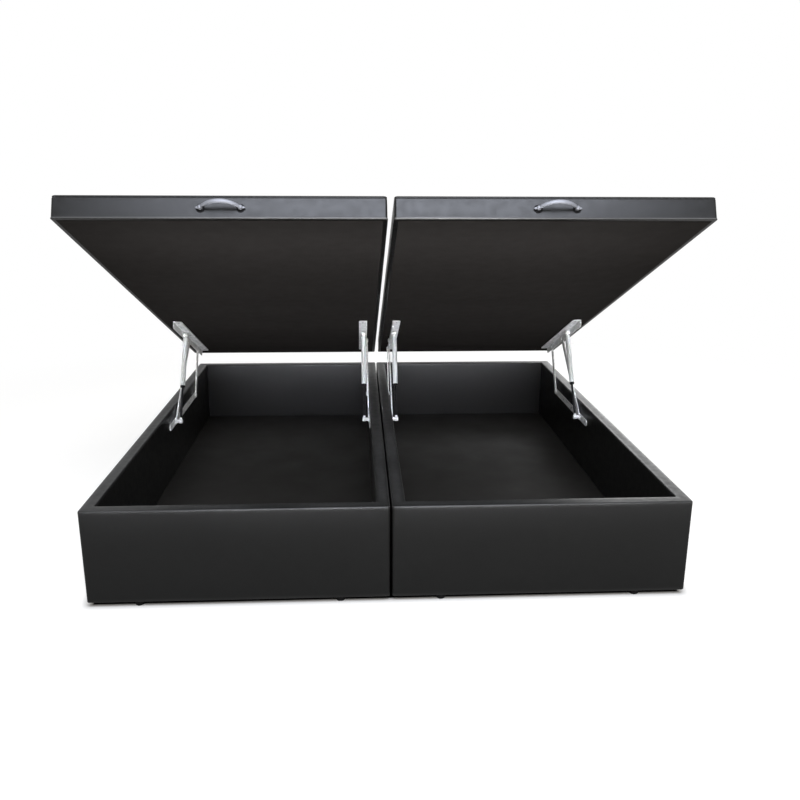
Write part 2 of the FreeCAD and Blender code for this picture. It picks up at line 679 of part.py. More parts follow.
def lid_bars():
    """Steel angle under the lid: a flange on the lining and a leg with the pivot holes."""
    corner = (f"{TRAY_FACE} + {LEG_LANE}", "-Sizes.lid_bar_end", "-Sizes.lid_bar_leg")
    body = new_body("lid_bar", corner)
    section = new_sketch(body, "XZ_Plane")
    wall, leg, flange = "Sizes.lid_bar_thickness", "Sizes.lid_bar_leg", "Sizes.lid_bar_flange"
    add_polygon(section, [
        ("0", "0"), (wall, "0"), (wall, f"{leg} - {wall}"),
        (flange, f"{leg} - {wall}"), (flange, leg), ("0", leg),
    ])
    length = "Sizes.lid_bar_end - Sizes.lid_bar_start"
    pad(body, section, length, reverse=True)
    nose = size("lid_bar_nose")
    run, flange_x = size("lid_bar_end") - size("lid_bar_start"), size("lid_bar_flange")

    def flange_corner(edge):
        """Upright edges at the flange's two free corners."""
        return upright(edge) and abs(edge.BoundBox.XMin - flange_x) < 1e-6

    def leg_corner(edge):
        """Edges across the leg at its two lower corners."""
        box = edge.BoundBox
        across = abs(box.XLength - size("lid_bar_thickness")) < 1e-6
        at_end = min(abs(box.YMin), abs(box.YMin - run)) < 1e-6
        return across and at_end and box.YLength < 1e-6 and box.ZMax < nose

    dress(body, "Fillet", "Sizes.lid_bar_nose", flange_corner)
    dress(body, "Fillet", "Sizes.lid_bar_nose", leg_corner)
    holes = new_sketch(body, "YZ_Plane")
    for pivot in ("rear_lid_pivot", "front_lid_pivot"):
        add_circle(
            holes,
            f"Sizes.lid_bar_end - Sizes.{pivot}",
            f"{leg} - Sizes.lid_pivot_drop",
            "Sizes.pin_radius + Sizes.press_play",
        )
    pocket(body, holes, wall)
    screw_holes = new_sketch(body, "XY_Plane")
    middle = f"({wall} + {flange}) / 2"
    screw_places = [
        "(Sizes.lid_bar_start + Sizes.end_screw_inset)",
        "(Sizes.front_lid_pivot + Sizes.strut_lid_pivot) / 2",
        "(Sizes.lid_bar_end - Sizes.end_screw_inset)",
    ]
    for place in screw_places:
        add_circle(screw_holes, middle, f"Sizes.lid_bar_end - {place}", "Sizes.screw_radius")
    pocket(body, screw_holes, leg)
    low_face, hole = size("lid_bar_leg") - size("lid_bar_thickness"), size("screw_radius")
    sink = "Sizes.screw_head_radius - Sizes.screw_radius"
    dress(body, "Chamfer", sink, lambda edge: round_hole_at(edge, "Z", low_face, hole))
    node("lid_bars", pair(body), LID_POSE)
    screws = []
    for index, place in enumerate(screw_places):
        seat = (f"{TRAY_FACE} + {LEG_LANE} + {middle}", f"-{place}", f"-{wall}")
        screw = countersunk_screw(f"lid_screw_{index}", seat)
        screw.Placement.Rotation = Rotation(Vector(0, 1, 0), -90)
        screws += pair(screw)
    node("lid_bar_screws", screws, LID_POSE)


def lid_pins():
    """Rear pivot pin through leg and link, and the front pivot's rivet head on the leg."""
    pin, head = "Sizes.pin_radius", "Sizes.rivet_head_radius"
    start = f"({LINK_LANE} - Sizes.side_play - Sizes.rivet_head)"
    under = f"{LINK_LANE} - Sizes.side_play - {start}"
    leg_face = f"({LEG_END} - {start})"
    rear_outline = [
        ("0", "0"), ("0", head), (under, head), (under, pin), (leg_face, pin), (leg_face, head),
        (f"{leg_face} + Sizes.rivet_head", head), (f"{leg_face} + Sizes.rivet_head", "0"),
    ]
    rear_seat = (f"{TRAY_FACE} + {start}", "-Sizes.rear_lid_pivot", "-Sizes.lid_pivot_drop")
    front_outline = [
        ("0", "0"), ("0", pin), ("Sizes.lid_bar_thickness", pin), ("Sizes.lid_bar_thickness", head),
        ("Sizes.lid_bar_thickness + Sizes.rivet_head", head),
        ("Sizes.lid_bar_thickness + Sizes.rivet_head", "0"),
    ]
    front_seat = (f"{TRAY_FACE} + {LEG_LANE}", "-Sizes.front_lid_pivot", "-Sizes.lid_pivot_drop")
    rear = turned("rear_lid_pin", rear_outline, rear_seat)
    front = turned("front_lid_pin", front_outline, front_seat)
    node("lid_pivot_pins", pair(rear) + pair(front), LID_POSE)


def strut_eye(name, place, neck_sign):
    """Eye end of the strut: a ring across the strut with a round neck towards the strut's middle."""
    body = new_body(name, (f"{TRAY_FACE} + Sizes.strut_offset", place, "0"))
    stem = new_sketch(body, "XZ_Plane")
    add_circle(stem, "0", "0", "Sizes.neck_radius")
    pad(body, stem, "Sizes.neck_length", reverse=neck_sign > 0)
    ring = new_sketch(body, "YZ_Plane")
    add_circle(ring, "0", "0", "Sizes.eye_radius")
    collar = pad(body, ring, "Sizes.eye_thickness")
    collar.SideType = "Symmetric"
    bore = new_sketch(body, "YZ_Plane")
    add_circle(bore, "0", "0", "Sizes.pin_radius + Sizes.pin_play")
    cut = pocket(body, bore, "Sizes.eye_thickness")
    cut.SideType = "Symmetric"
    doc.recompute()
    return body


def along_strut(name, outline, place):
    """A turned piece whose axis is the strut's own axis, starting at a place along it."""
    piece = turned(name, outline, (f"{TRAY_FACE} + Sizes.strut_offset", place, "0"))
    piece.Placement.Rotation = Rotation(Vector(0, 0, 1), 90)
    return piece


def struts():
    """Gas strut along +Y of its own frame: rod from the base pin, cylinder from the lid bar."""
    length = "Linkage.strut_length"
    tube_top = f"({length} - Sizes.neck_length)"
    tube_low = f"({tube_top} - Sizes.cylinder_length)"
    gland_low = f"({tube_low} - Sizes.gland_length)"
    rod, bore = "Sizes.rod_radius", "(Sizes.cylinder_radius - Sizes.cylinder_wall)"
    node("rod_eyes", pair(strut_eye("rod_eye", "0", 1)), STRUT_POSE)
    rod_run = f"({tube_low} + Sizes.rod_inside - Sizes.neck_length)"
    piston = f"({bore} - Sizes.pin_play)"
    rod_outline = [
        ("0", "0"), ("0", rod), (f"{rod_run} - Sizes.piston_length", rod),
        (f"{rod_run} - Sizes.piston_length", piston), (rod_run, piston), (rod_run, "0"),
    ]
    node("strut_rods", pair(along_strut("strut_rod", rod_outline, "Sizes.neck_length")), STRUT_POSE)
    outer, tube = "Sizes.cylinder_radius", "Sizes.cylinder_length"
    bevel = "Sizes.strut_bevel"
    tube_outline = [
        ("0", bore), ("0", outer), (f"{tube} - {bevel}", outer), (tube, f"{outer} - {bevel}"), (tube, "0"),
        (f"{tube} - Sizes.cylinder_end_wall", "0"), (f"{tube} - Sizes.cylinder_end_wall", bore),
    ]
    node("strut_cylinders", pair(along_strut("strut_tube", tube_outline, tube_low)), STRUT_POSE)
    rod_way = "(Sizes.rod_radius + Sizes.pin_play)"
    gland_outline = [
        ("0", rod_way), ("0", f"{outer} - {bevel}"), (bevel, outer), ("Sizes.gland_length", outer),
        ("Sizes.gland_length", rod_way),
    ]
    node("strut_glands", pair(along_strut("strut_gland", gland_outline, gland_low)), STRUT_POSE)
    node("strut_top_eyes", pair(strut_eye("top_eye", length, -1)), STRUT_POSE)
    pin, collar, head = "Sizes.pin_radius", "Sizes.rivet_head_radius", "Sizes.pin_head_radius"
    start = f"({LEG_END} + Sizes.side_play)"
    collar_end = f"({EYE_LANE} - {start})"
    head_start = f"({EYE_END} - {start})"
    stud_outline = [
        ("0", "0"), ("0", collar), (collar_end, collar), (collar_end, pin), (head_start, pin),
        (head_start, head), (f"{head_start} + Sizes.rivet_head", head),
        (f"{head_start} + Sizes.rivet_head", "0"),
    ]
    stud = turned("top_stud", stud_outline, (f"{TRAY_FACE} + {start}", length, "0"))
    node("strut_top_studs", pair(stud), STRUT_POSE)


def bow_handle():
    """Cast bow handle on the lid's front edge: two ball-ended posts and a grip that swells to its middle.

    The grip follows one arc between the posts, in a plane that leans up from the front edge's normal.
    """
    spacing, rise, post = size("handle_spacing"), size("handle_rise"), value(POST_LENGTH)
    lean = math.radians(size("handle_lean"))
    middle = Vector(value(LID_MIDDLE), -size("bed_length"), size("handle_height"))
    away = Vector(0, -math.cos(lean), math.sin(lean))
    radius = (spacing ** 2 / 4 + rise ** 2) / (2 * rise)
    half_turn = math.asin(spacing / 2 / radius)
    centre = middle + Vector(0, -post, 0) + away * (rise - radius)
    sections = []
    for index in range(GRIP_SECTIONS):
        share = 2 * index / (GRIP_SECTIONS - 1) - 1
        turn = share * half_turn
        outward = Vector(1, 0, 0) * math.sin(turn) + away * math.cos(turn)
        travel = Vector(1, 0, 0) * math.cos(turn) - away * math.sin(turn)
        swell = f"(1 - (1 - Sizes.grip_end_share) * {share ** 2})"
        ring = doc.addObject("Part::Ellipse", f"grip_ring_{index}")
        ring.setExpression("MajorRadius", f"Sizes.grip_width / 2 * {swell}")
        ring.setExpression("MinorRadius", f"Sizes.grip_depth / 2 * {swell}")
        across = travel.cross(outward)
        ring.Placement = Placement(centre + outward * radius, Rotation(across, outward, travel, "XYZ"))
        sections.append(ring)
    grip = doc.addObject("Part::Loft", "grip")
    grip.Sections = sections
    grip.Solid = True
    grip.Ruled = True
    pieces = [grip]
    flange, flange_edge = "Sizes.handle_flange", "Sizes.handle_flange_radius"
    waist = "(Sizes.handle_post_radius - Sizes.handle_waist)"
    outline = [
        ("0", "0"), ("0", flange_edge), (flange, flange_edge), (f"{flange} + Sizes.handle_waist", waist),
        (POST_LENGTH, waist), (POST_LENGTH, "0"),
    ]
    for side in (-1, 1):
        seat = middle + Vector(side * spacing / 2, 0, 0)
        name = "right" if side > 0 else "left"
        stem = turned(f"{name}_post", outline)
        stem.Placement = Placement(seat, Rotation(Vector(0, 0, 1), -90))
        ball = doc.addObject("Part::Sphere", f"{name}_ball")
        ball.setExpression("Radius", "Sizes.handle_post_radius")
        ball.Placement.Base = seat + Vector(0, -post, 0)
        pieces += [stem, ball]
    handle = doc.addObject("Part::MultiFuse", "bow_handle")
    handle.Shapes = pieces
    node("handle", [handle], LID_POSE)
    head, head_edge = "Sizes.handle_screw_head", "Sizes.handle_screw_head_radius"
    shank = "Sizes.handle_screw_radius"
    behind_face = f"({head} + Sizes.end_rail_width + Sizes.lid_side_padding)"
    tip = f"({behind_face} + Sizes.handle_screw_bite)"
    screw_outline = [
        ("0", "0"), ("0", head_edge), (head, head_edge), (head, shank), (tip, shank), (tip, "0"),
    ]
    depth = value(behind_face)
    screws = []
    for side in (-1, 1):
        name = "right" if side > 0 else "left"
        screw = turned(f"{name}_handle_screw", screw_outline)
        seat = middle + Vector(side * spacing / 2, depth, 0)
        screw.Placement = Placement(seat, Rotation(Vector(0, 0, 1), -90))
        screws.append(screw)
    node("handle_screws", screws, LID_POSE)


def left_half():
    """The left half: each sub-part mirrored about the middle of the bed."""
    for label, group in list(NODES.items()):
        left = label.replace("right_", "left_", 1)
        image = mirrored(left, group, "0")
        image.Label = left
        NODES[left] = image


def check_all():
    """Stop if any object failed or any sub-part is empty or not valid."""
    for item in doc.Objects:
        if "Invalid" in item.State or "Error" in item.State:
            raise RuntimeError(f"{item.Label} failed: {item.State}")
    for label, group in NODES.items():
        shape = group.Shape
        if shape.isNull() or not shape.Solids or not shape.isValid():
            raise RuntimeError(f"{label} has no valid solid")


tray_boards()
tray_floor()
tray_cover()
tray_feet()
base_bars()
base_pins()
links()
lid_woodwork()
lid_cover()
lid_bars()
lid_pins()
struts()
bow_handle()
doc.recompute()
left_half()
doc.recompute()
check_all()
os.makedirs("parts", exist_ok=True)
for label, group in NODES.items():
    group.Shape.exportStep(f"parts/{label}.step")
print(len(NODES), "sub-parts,", sum(len(group.Shape.Solids) for group in NODES.values()), "solids")
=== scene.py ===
"""Split storage bed base: padded trays and lids, zinc-plated lift mechanisms and bow handles.

Metres, +Z up, front towards -Y. The lids stand open at rest, and each piece lies where the frame
says.
"""
import bmesh
import bpy
import json
import math
import numpy as np
from mathutils import Matrix, Vector


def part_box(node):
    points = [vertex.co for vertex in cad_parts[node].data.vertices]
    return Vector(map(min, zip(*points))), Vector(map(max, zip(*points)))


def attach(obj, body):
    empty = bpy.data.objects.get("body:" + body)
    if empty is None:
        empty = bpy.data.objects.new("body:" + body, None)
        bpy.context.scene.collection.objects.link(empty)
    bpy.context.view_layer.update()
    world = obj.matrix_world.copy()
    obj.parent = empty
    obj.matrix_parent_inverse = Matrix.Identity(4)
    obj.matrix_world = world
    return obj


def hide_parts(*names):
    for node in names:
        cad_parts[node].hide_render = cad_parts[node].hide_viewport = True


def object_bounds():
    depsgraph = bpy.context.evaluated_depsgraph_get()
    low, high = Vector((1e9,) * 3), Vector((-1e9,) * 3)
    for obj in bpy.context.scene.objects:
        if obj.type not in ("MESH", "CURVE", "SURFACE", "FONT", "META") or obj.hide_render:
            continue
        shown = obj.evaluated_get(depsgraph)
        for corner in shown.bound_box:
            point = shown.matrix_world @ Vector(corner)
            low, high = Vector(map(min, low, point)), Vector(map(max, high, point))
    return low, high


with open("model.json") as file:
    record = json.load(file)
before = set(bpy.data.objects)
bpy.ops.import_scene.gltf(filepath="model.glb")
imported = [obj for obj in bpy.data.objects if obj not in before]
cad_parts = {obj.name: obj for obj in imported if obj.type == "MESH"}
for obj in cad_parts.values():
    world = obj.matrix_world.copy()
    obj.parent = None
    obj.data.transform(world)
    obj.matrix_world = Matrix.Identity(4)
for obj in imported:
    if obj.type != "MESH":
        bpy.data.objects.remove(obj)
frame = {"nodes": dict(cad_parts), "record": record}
cad_low, cad_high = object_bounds()

MM = 0.001
HALVES = ("left", "right")

# Camera, as fitted to the outlines of the trays and lids in an image of 800 x 800
IMAGE_SIZE = 800
FOCAL_PIXELS = 803.9
SENSOR = 36.0
CAMERA_PLACE = (-0.1002, -3.3427, 1.3255)
CAMERA_PITCH = math.radians(15.538)
CAMERA_YAW = math.radians(3.097)
CAMERA_ROLL = math.radians(0.26)
CAMERA_REACH = 200

# Studio. The floor gets a painted shadow under the bed, in from its outline by the insets and
# over a short blur. Further out it is lifted and then white, by the distance from there.
AMBIENT = 0.42
FLOOR_REACH = 40.0
FLOOR_LIFT = 0.72
PAINTED_SHADOW_INSET_SIDES = 0.012
PAINTED_SHADOW_INSET_ENDS = 0.028
PAINTED_SHADOW_BLUR = 0.006
LIFT_END = 0.05
WHITE_START = 0.7
WHITE_END = 2.2

# Lamps: name, tint, place, aim, width, height, power and spread in degrees
LAMPS = (
    ("key_softbox", "#eaf0ff", (0.12, -3.1, 3.4), (0.0, -0.97, 1.25), 3.0, 1.6, 260.0, 180),
    ("front_fill", "#fff8ef", (0.6, -3.6, 1.1), (0.0, 0.9, 0.3), 2.4, 1.0, 36.0, 180),
    ("tray_fill", "#eef2ff", (0.0, -1.7, 0.62), (0.0, 0.97, 0.12), 1.7, 0.15, 1.5, 18),
    ("low_fill", "#f5f7ff", (0.0, -2.2, 0.42), (0.0, 0.6, 0.72), 2.2, 0.12, 5.8, 30),
    ("lid_fill", "#f5f7ff", (0.0, -1.9, 0.25), (0.0, -0.75, 1.08), 1.8, 0.12, 3.9, 40),
    ("back_light", "#ffffff", (2.15, 3.2, 1.45), (0.4, 0.0, 0.4), 1.6, 1.5, 37.0, 180),
)

# Upholstery of trays and lids. Painted highlight, matt and painted seam shade values are shares for
# the leatherette.
# Uneven values are shares of what they vary, over waves of the given length.
SWELL_POWER = 0.7
CORNER_POWER = 12
TOP_START = 0.9
SIDE_STEPS = 150
CORNER_STEPS = 18
ARC_STEPS = 9

# Upholstery of the trays
TRAY_HEM = 34 * MM
TRAY_HEM_RADIUS = 3 * MM
TRAY_RIM_RADIUS = 5.5 * MM
TRAY_CORNER_RADIUS = 10 * MM
TRAY_INNER_RADIUS = 3 * MM
TRAY_BULGE = 2.2 * MM
TRAY_INNER_BULGE = 0.6
TRAY_UNEVEN, TRAY_WAVE = 0.35, 700 * MM
TRAY_RUNS = (4, 34, 10, 30)
SKIN_UNDER = 0.4 * MM
RIM_CROWN = 0.8 * MM
RIM_UNEVEN, RIM_WAVE = 0.5, 310 * MM
# Painted highlights: a pale tint on the rim, along the upper edge and along the hem stands in for
# their sheen
RIM_PAINTED_SHEEN = 0.04
RIM_MATT = 0.55
EDGE_PAINTED_HIGHLIGHT = 0.06
EDGE_HIGHLIGHT_DROP = 0.3
EDGE_HIGHLIGHT_WIDTH = 0.014
HEM_PAINTED_HIGHLIGHT = 0.03
HEM_HIGHLIGHT_LEVEL = 0.014
HEM_HIGHLIGHT_WIDTH = 0.012
HIGHLIGHT_UNEVEN, HIGHLIGHT_WAVE = 0.6, 400 * MM

# Upholstery of the lids, in the closed lid's frame: y is 0 at the back, and z is 0 underneath
LID_THICKNESS = 72 * MM
LID_HEM = 40 * MM
LID_HEM_LEVEL = 1 * MM
LID_HEM_RADIUS = 2.5 * MM
LID_EDGE_RADIUS = 5 * MM
LID_CORNER_RADIUS = 8 * MM
LID_BULGE = 1.6 * MM
LID_UNEVEN, LID_WAVE = 0.4, 550 * MM
LID_CROWN = 4 * MM
LID_CROWN_POWER = 4
CROWN_UNEVEN, CROWN_WAVE = 0.15, 800 * MM
LID_RUNS = (5, 60, 40)
BEAD_LEVEL = 4 * MM
BEAD_WIDTH = 2.6 * MM
BEAD_RISE = 1.4 * MM
# The bead's pale tint is a painted highlight, strongest near the bed's middle
BEAD_PAINTED_GLINT = 0.46
BEAD_GLINT_REACH = 520 * MM
BEAD_GLINT_ENDS = 0.3
BEAD_UNEVEN, BEAD_WAVE = 0.4, 900 * MM
SEAM_LEVEL = 66 * MM
SEAM_WIDTH = 1.7 * MM
SEAM_DEPTH = 1.6 * MM
# The seam's dark tint is painted shade in its groove
SEAM_SHADE = 0.8
STITCH_PITCH = 9 * MM
STITCH_DEPTH = 0.35

# Lining under the lids
LINING_INSET = 12 * MM
LINING_LEVEL = 0.5 * MM
LINING_SAG = 3 * MM
LINING_STEPS = (90, 190)
RAIL_WIDTH = 92 * MM
RIB_PITCH = 322.35 * MM
RAIL_POWER = 0.7
RIB_POWER = 1.4

# Bow handles
HANDLE_LEVEL = 32 * MM
HANDLE_SPACING = 114 * MM
HANDLE_REACH = 71 * MM
HANDLE_RISE = 27 * MM
HANDLE_LEAN = math.radians(20)
HANDLE_SEAT = 10.5 * MM
HANDLE_TIP_DROP = 1.5 * MM
HANDLE_TIP_START = 0.9
GRIP_TALL, GRIP_TALL_TAPER = 6.8 * MM, 0.5
GRIP_THICK, GRIP_THICK_TAPER = 4.2 * MM, 0.35
GRIP_LEAN = math.radians(4)
GRIP_BLEND = 3 * MM
GRIP_STEPS = (97, 40)
POST_BALL = 7.4 * MM
POST_BALL_START = -0.86
POST_FOOT_OUT = np.array([0, 0, 0.9, 1.7, 2.3, 2.9, 3.6]) * MM
POST_FOOT_SPREAD = np.array([0, 13.5, 13.5, 12.8, 11, 8, 5.8]) * MM
POST_STEPS = (49, 16)
# The painted shade on the posts' feet fades out by here
FOOT_SHADE_END = 5 * MM

# Points closer than this are one point
WELD = 0.001 * MM

# Sockets of a Mix node that mixes colours: its two ends and its result
LOW, HIGH, MIXED = 6, 7, 2


def colour(code):
    """An sRGB hex code as linear red, green, blue and alpha."""
    srgb = np.array([int(code[i:i + 2], 16) for i in (1, 3, 5)]) / 255
    linear = np.where(srgb <= 0.04045, srgb / 12.92, ((srgb + 0.055) / 1.055) ** 2.4)
    return (*linear.tolist(), 1.0)


def add_node(tree, kind, inputs=None, **settings):
    """Add one node with its settings; an input is a value or the socket that feeds it."""
    node = tree.nodes.new(kind)
    for key, setting in settings.items():
        setattr(node, key, setting)
    for key, source in (inputs or {}).items():
        if isinstance(source, bpy.types.NodeSocket):
            tree.links.new(source, node.inputs[key])
        else:
            node.inputs[key].default_value = source
    return node


def new_material(name):
    """An empty material, its node tree and the Object coordinates that its patterns lie on."""
    material = bpy.data.materials.new(name)
    material.use_nodes = True
    tree = material.node_tree
    tree.nodes.clear()
    return material, tree, add_node(tree, "ShaderNodeTexCoord").outputs["Object"]


def black_leatherette():
    """PVC leathercloth, embossed and matt-lacquered.

    It gives the eye a soft broad sheen, a pebble grain and slow mottling, with painted highlights
    on edges and painted shade in the seams, and it is matt where a lid or a mattress presses on it.
    The grain of 1.5 mm is drawn at twice that, because it would be lost in the render.
    """
    grain, mottle, cloud = 3 * MM, 24 * MM, 210 * MM
    material, tree, place = new_material("black_leatherette")
    pebbles = add_node(tree, "ShaderNodeTexVoronoi", {
        "Vector": place, "Scale": 1 / grain,
    }, feature="DISTANCE_TO_EDGE")
    creases = add_node(tree, "ShaderNodeMapRange", {
        "Value": pebbles.outputs["Distance"], "From Max": 0.2,
    })
    blotches = add_node(tree, "ShaderNodeTexNoise", {
        "Vector": place, "Scale": 1 / mottle, "Detail": 4.0,
    })
    clouds = add_node(tree, "ShaderNodeTexNoise", {
        "Vector": place, "Scale": 1 / cloud, "Detail": 2.0,
    })
    tint = add_node(tree, "ShaderNodeMix", {
        "Factor": clouds.outputs["Fac"], LOW: colour("#0f0f0e"), HIGH: colour("#151514"),
    }, data_type="RGBA")
    grained = add_node(tree, "ShaderNodeMix", {
        "Factor": creases.outputs["Result"], LOW: colour("#0a0a09"), HIGH: tint.outputs[MIXED],
    }, data_type="RGBA")
    highlight_mark = add_node(tree, "ShaderNodeAttribute", attribute_name="rub")
    # Pale tint by the mark: painted highlights on rims, edges and the lids' beads
    highlighted = add_node(tree, "ShaderNodeMix", {
        "Factor": highlight_mark.outputs["Fac"], LOW: grained.outputs[MIXED], HIGH: colour("#8c8b88"),
    }, data_type="RGBA")
    # Near-black tint in the seams: painted shade in the groove
    sunk = add_node(tree, "ShaderNodeAttribute", attribute_name="seam")
    seam_shaded = add_node(tree, "ShaderNodeMix", {
        "Factor": sunk.outputs["Fac"], LOW: highlighted.outputs[MIXED], HIGH: colour("#060606"),
    }, data_type="RGBA")
    gloss = add_node(tree, "ShaderNodeMapRange", {
        "Value": blotches.outputs["Fac"], "From Min": 0.3, "From Max": 0.7,
        "To Min": 0.3, "To Max": 0.4,
    })
    pressed = add_node(tree, "ShaderNodeAttribute", attribute_name="matt")
    dull = add_node(tree, "ShaderNodeMath", {
        0: pressed.outputs["Fac"], 1: 0.3, 2: gloss.outputs["Result"],
    }, operation="MULTIPLY_ADD")
    relief = add_node(tree, "ShaderNodeBump", {
        "Height": creases.outputs["Result"], "Strength": 0.3, "Distance": 0.12 * MM,
    })
    soft = add_node(tree, "ShaderNodeBump", {
        "Height": blotches.outputs["Fac"], "Normal": relief.outputs["Normal"],
        "Strength": 0.32, "Distance": 0.7 * MM,
    })
    shader = add_node(tree, "ShaderNodeBsdfPrincipled", {
        "Base Color": seam_shaded.outputs[MIXED], "Roughness": dull.outputs[0],
        "Normal": soft.outputs["Normal"], "Specular IOR Level": 0.23,
    })
    add_node(tree, "ShaderNodeOutputMaterial", {"Surface": shader.outputs["BSDF"]})
    return material


def spunbond_lining():
    """Dark spunbond polypropylene cloth, point-bonded by hot rollers.

    It gives the eye a dull brown-black with cloudy fibre density and a fine grid of pressed dots.
    The dots' pitch of 1.5 mm is drawn at three times that, because it would be lost in the render.
    """
    dot, cloud, fibre = 4.5 * MM, 45 * MM, 2 * MM
    material, tree, place = new_material("spunbond_lining")
    dots = add_node(tree, "ShaderNodeTexVoronoi", {
        "Vector": place, "Scale": 1 / dot, "Randomness": 0.15,
    })
    pressed = add_node(tree, "ShaderNodeMapRange", {
        "Value": dots.outputs["Distance"], "From Min": 0.2, "From Max": 0.4,
    })
    density = add_node(tree, "ShaderNodeTexNoise", {
        "Vector": place, "Scale": 1 / cloud, "Detail": 6.0,
    })
    strands = add_node(tree, "ShaderNodeTexNoise", {
        "Vector": place, "Scale": 1 / fibre, "Detail": 3.0,
    })
    tint = add_node(tree, "ShaderNodeMix", {
        "Factor": density.outputs["Fac"], LOW: colour("#252321"), HIGH: colour("#2f2d2b"),
    }, data_type="RGBA")
    dotted = add_node(tree, "ShaderNodeMix", {
        "Factor": pressed.outputs["Result"], LOW: colour("#201e1d"), HIGH: tint.outputs[MIXED],
    }, data_type="RGBA")
    relief = add_node(tree, "ShaderNodeBump", {
        "Height": pressed.outputs["Result"], "Strength": 0.4, "Distance": 0.15 * MM,
    })
    fuzz = add_node(tree, "ShaderNodeBump", {
        "Height": strands.outputs["Fac"], "Normal": relief.outputs["Normal"],
        "Strength": 0.3, "Distance": 0.2 * MM,
    })
    gloss = add_node(tree, "ShaderNodeMapRange", {
        "Value": density.outputs["Fac"], "To Min": 0.72, "To Max": 0.9,
    })
    shader = add_node(tree, "ShaderNodeBsdfPrincipled", {
        "Base Color": dotted.outputs[MIXED], "Roughness": gloss.outputs["Result"],
        "Normal": fuzz.outputs["Normal"], "Specular IOR Level": 0.0,
    })
    add_node(tree, "ShaderNodeOutputMaterial", {"Surface": shader.outputs["BSDF"]})
    return material


def dark_hardboard():
    """Wood-fibre board, pressed and stained black on its face.

    It gives the eye a dull brown-black with matted fibres and scuffs.
    """
    fibre, cloud = 3 * MM, 160 * MM
    material, tree, place = new_material("dark_hardboard")
    fibres = add_node(tree, "ShaderNodeTexNoise", {
        "Vector": place, "Scale": 1 / fibre, "Detail": 5.0,
    })
    clouds = add_node(tree, "ShaderNodeTexNoise", {
        "Vector": place, "Scale": 1 / cloud, "Detail": 4.0,
    })
    tint = add_node(tree, "ShaderNodeMix", {
        "Factor": clouds.outputs["Fac"], LOW: colour("#110f0c"), HIGH: colour("#191611"),
    }, data_type="RGBA")
    matted = add_node(tree, "ShaderNodeMix", {
        "Factor": fibres.outputs["Fac"], LOW: tint.outputs[MIXED], HIGH: colour("#13110e"),
    }, data_type="RGBA")
    gloss = add_node(tree, "ShaderNodeMapRange", {
        "Value": clouds.outputs["Fac"], "To Min": 0.5, "To Max": 0.75,
    })
    relief = add_node(tree, "ShaderNodeBump", {
        "Height": fibres.outputs["Fac"], "Strength": 0.3, "Distance": 0.2 * MM,
    })
    shader = add_node(tree, "ShaderNodeBsdfPrincipled", {
        "Base Color": matted.outputs[MIXED], "Roughness": gloss.outputs["Result"],
        "Normal": relief.outputs["Normal"], "Specular IOR Level": 0.3,
    })
    add_node(tree, "ShaderNodeOutputMaterial", {"Surface": shader.outputs["BSDF"]})
    return material


def sawn_pine():
    """Planed softwood boards.

    They give the eye a pale yellow with darker late-wood lines along the board and a dull surface.
    """
    ring, length = 5 * MM, 260 * MM
    material, tree, place = new_material("sawn_pine")
    drawn = add_node(tree, "ShaderNodeMapping", {
        "Vector": place, "Scale": (1 / length, 1 / length, 1 / ring),
    })
    rings = add_node(tree, "ShaderNodeTexNoise", {
        "Vector": drawn.outputs["Vector"], "Scale": 1.0, "Detail": 3.0,
    })
    late = add_node(tree, "ShaderNodeMapRange", {
        "Value": rings.outputs["Fac"], "From Min": 0.42, "From Max": 0.62,
    })
    tint = add_node(tree, "ShaderNodeMix", {
        "Factor": late.outputs["Result"], LOW: colour("#d9bc8c"), HIGH: colour("#b98f5a"),
    }, data_type="RGBA")
    relief = add_node(tree, "ShaderNodeBump", {
        "Height": late.outputs["Result"], "Strength": 0.2, "Distance": 0.2 * MM,
    })
    shader = add_node(tree, "ShaderNodeBsdfPrincipled", {
        "Base Color": tint.outputs[MIXED], "Roughness": 0.65,
        "Normal": relief.outputs["Normal"], "Specular IOR Level": 0.3,
    })
    add_node(tree, "ShaderNodeOutputMaterial", {"Surface": shader.outputs["BSDF"]})
    return material


def zinc_plated_steel():
    """Rolled steel strip with zinc plating.

    It gives the eye a pale cloudy surface with patches of crystals, fine scratches and a soft
    reflection. The plating is dull and scatters light almost as paint does, so it is hardly
    metallic.
    """
    crystal, scratch = 11 * MM, 1.2 * MM
    material, tree, place = new_material("zinc_plated_steel")
    patches = add_node(tree, "ShaderNodeTexVoronoi", {"Vector": place, "Scale": 1 / crystal})
    grey = add_node(tree, "ShaderNodeSeparateColor", {"Color": patches.outputs["Color"]})
    rubs = add_node(tree, "ShaderNodeTexNoise", {
        "Vector": place, "Scale": 1 / scratch, "Detail": 4.0,
    })
    tint = add_node(tree, "ShaderNodeMix", {
        "Factor": grey.outputs["Red"], LOW: colour("#d2d4d3"), HIGH: colour("#fdfdfc"),
    }, data_type="RGBA")
    gloss = add_node(tree, "ShaderNodeMapRange", {
        "Value": rubs.outputs["Fac"], "From Min": 0.3, "From Max": 0.7,
        "To Min": 0.42, "To Max": 0.58,
    })
    relief = add_node(tree, "ShaderNodeBump", {
        "Height": rubs.outputs["Fac"], "Strength": 0.15, "Distance": 0.1 * MM,
    })
    shader = add_node(tree, "ShaderNodeBsdfPrincipled", {
        "Base Color": tint.outputs[MIXED], "Roughness": gloss.outputs["Result"],
        "Normal": relief.outputs["Normal"], "Metallic": 0.08,
    })
    add_node(tree, "ShaderNodeOutputMaterial", {"Surface": shader.outputs["BSDF"]})
    return material


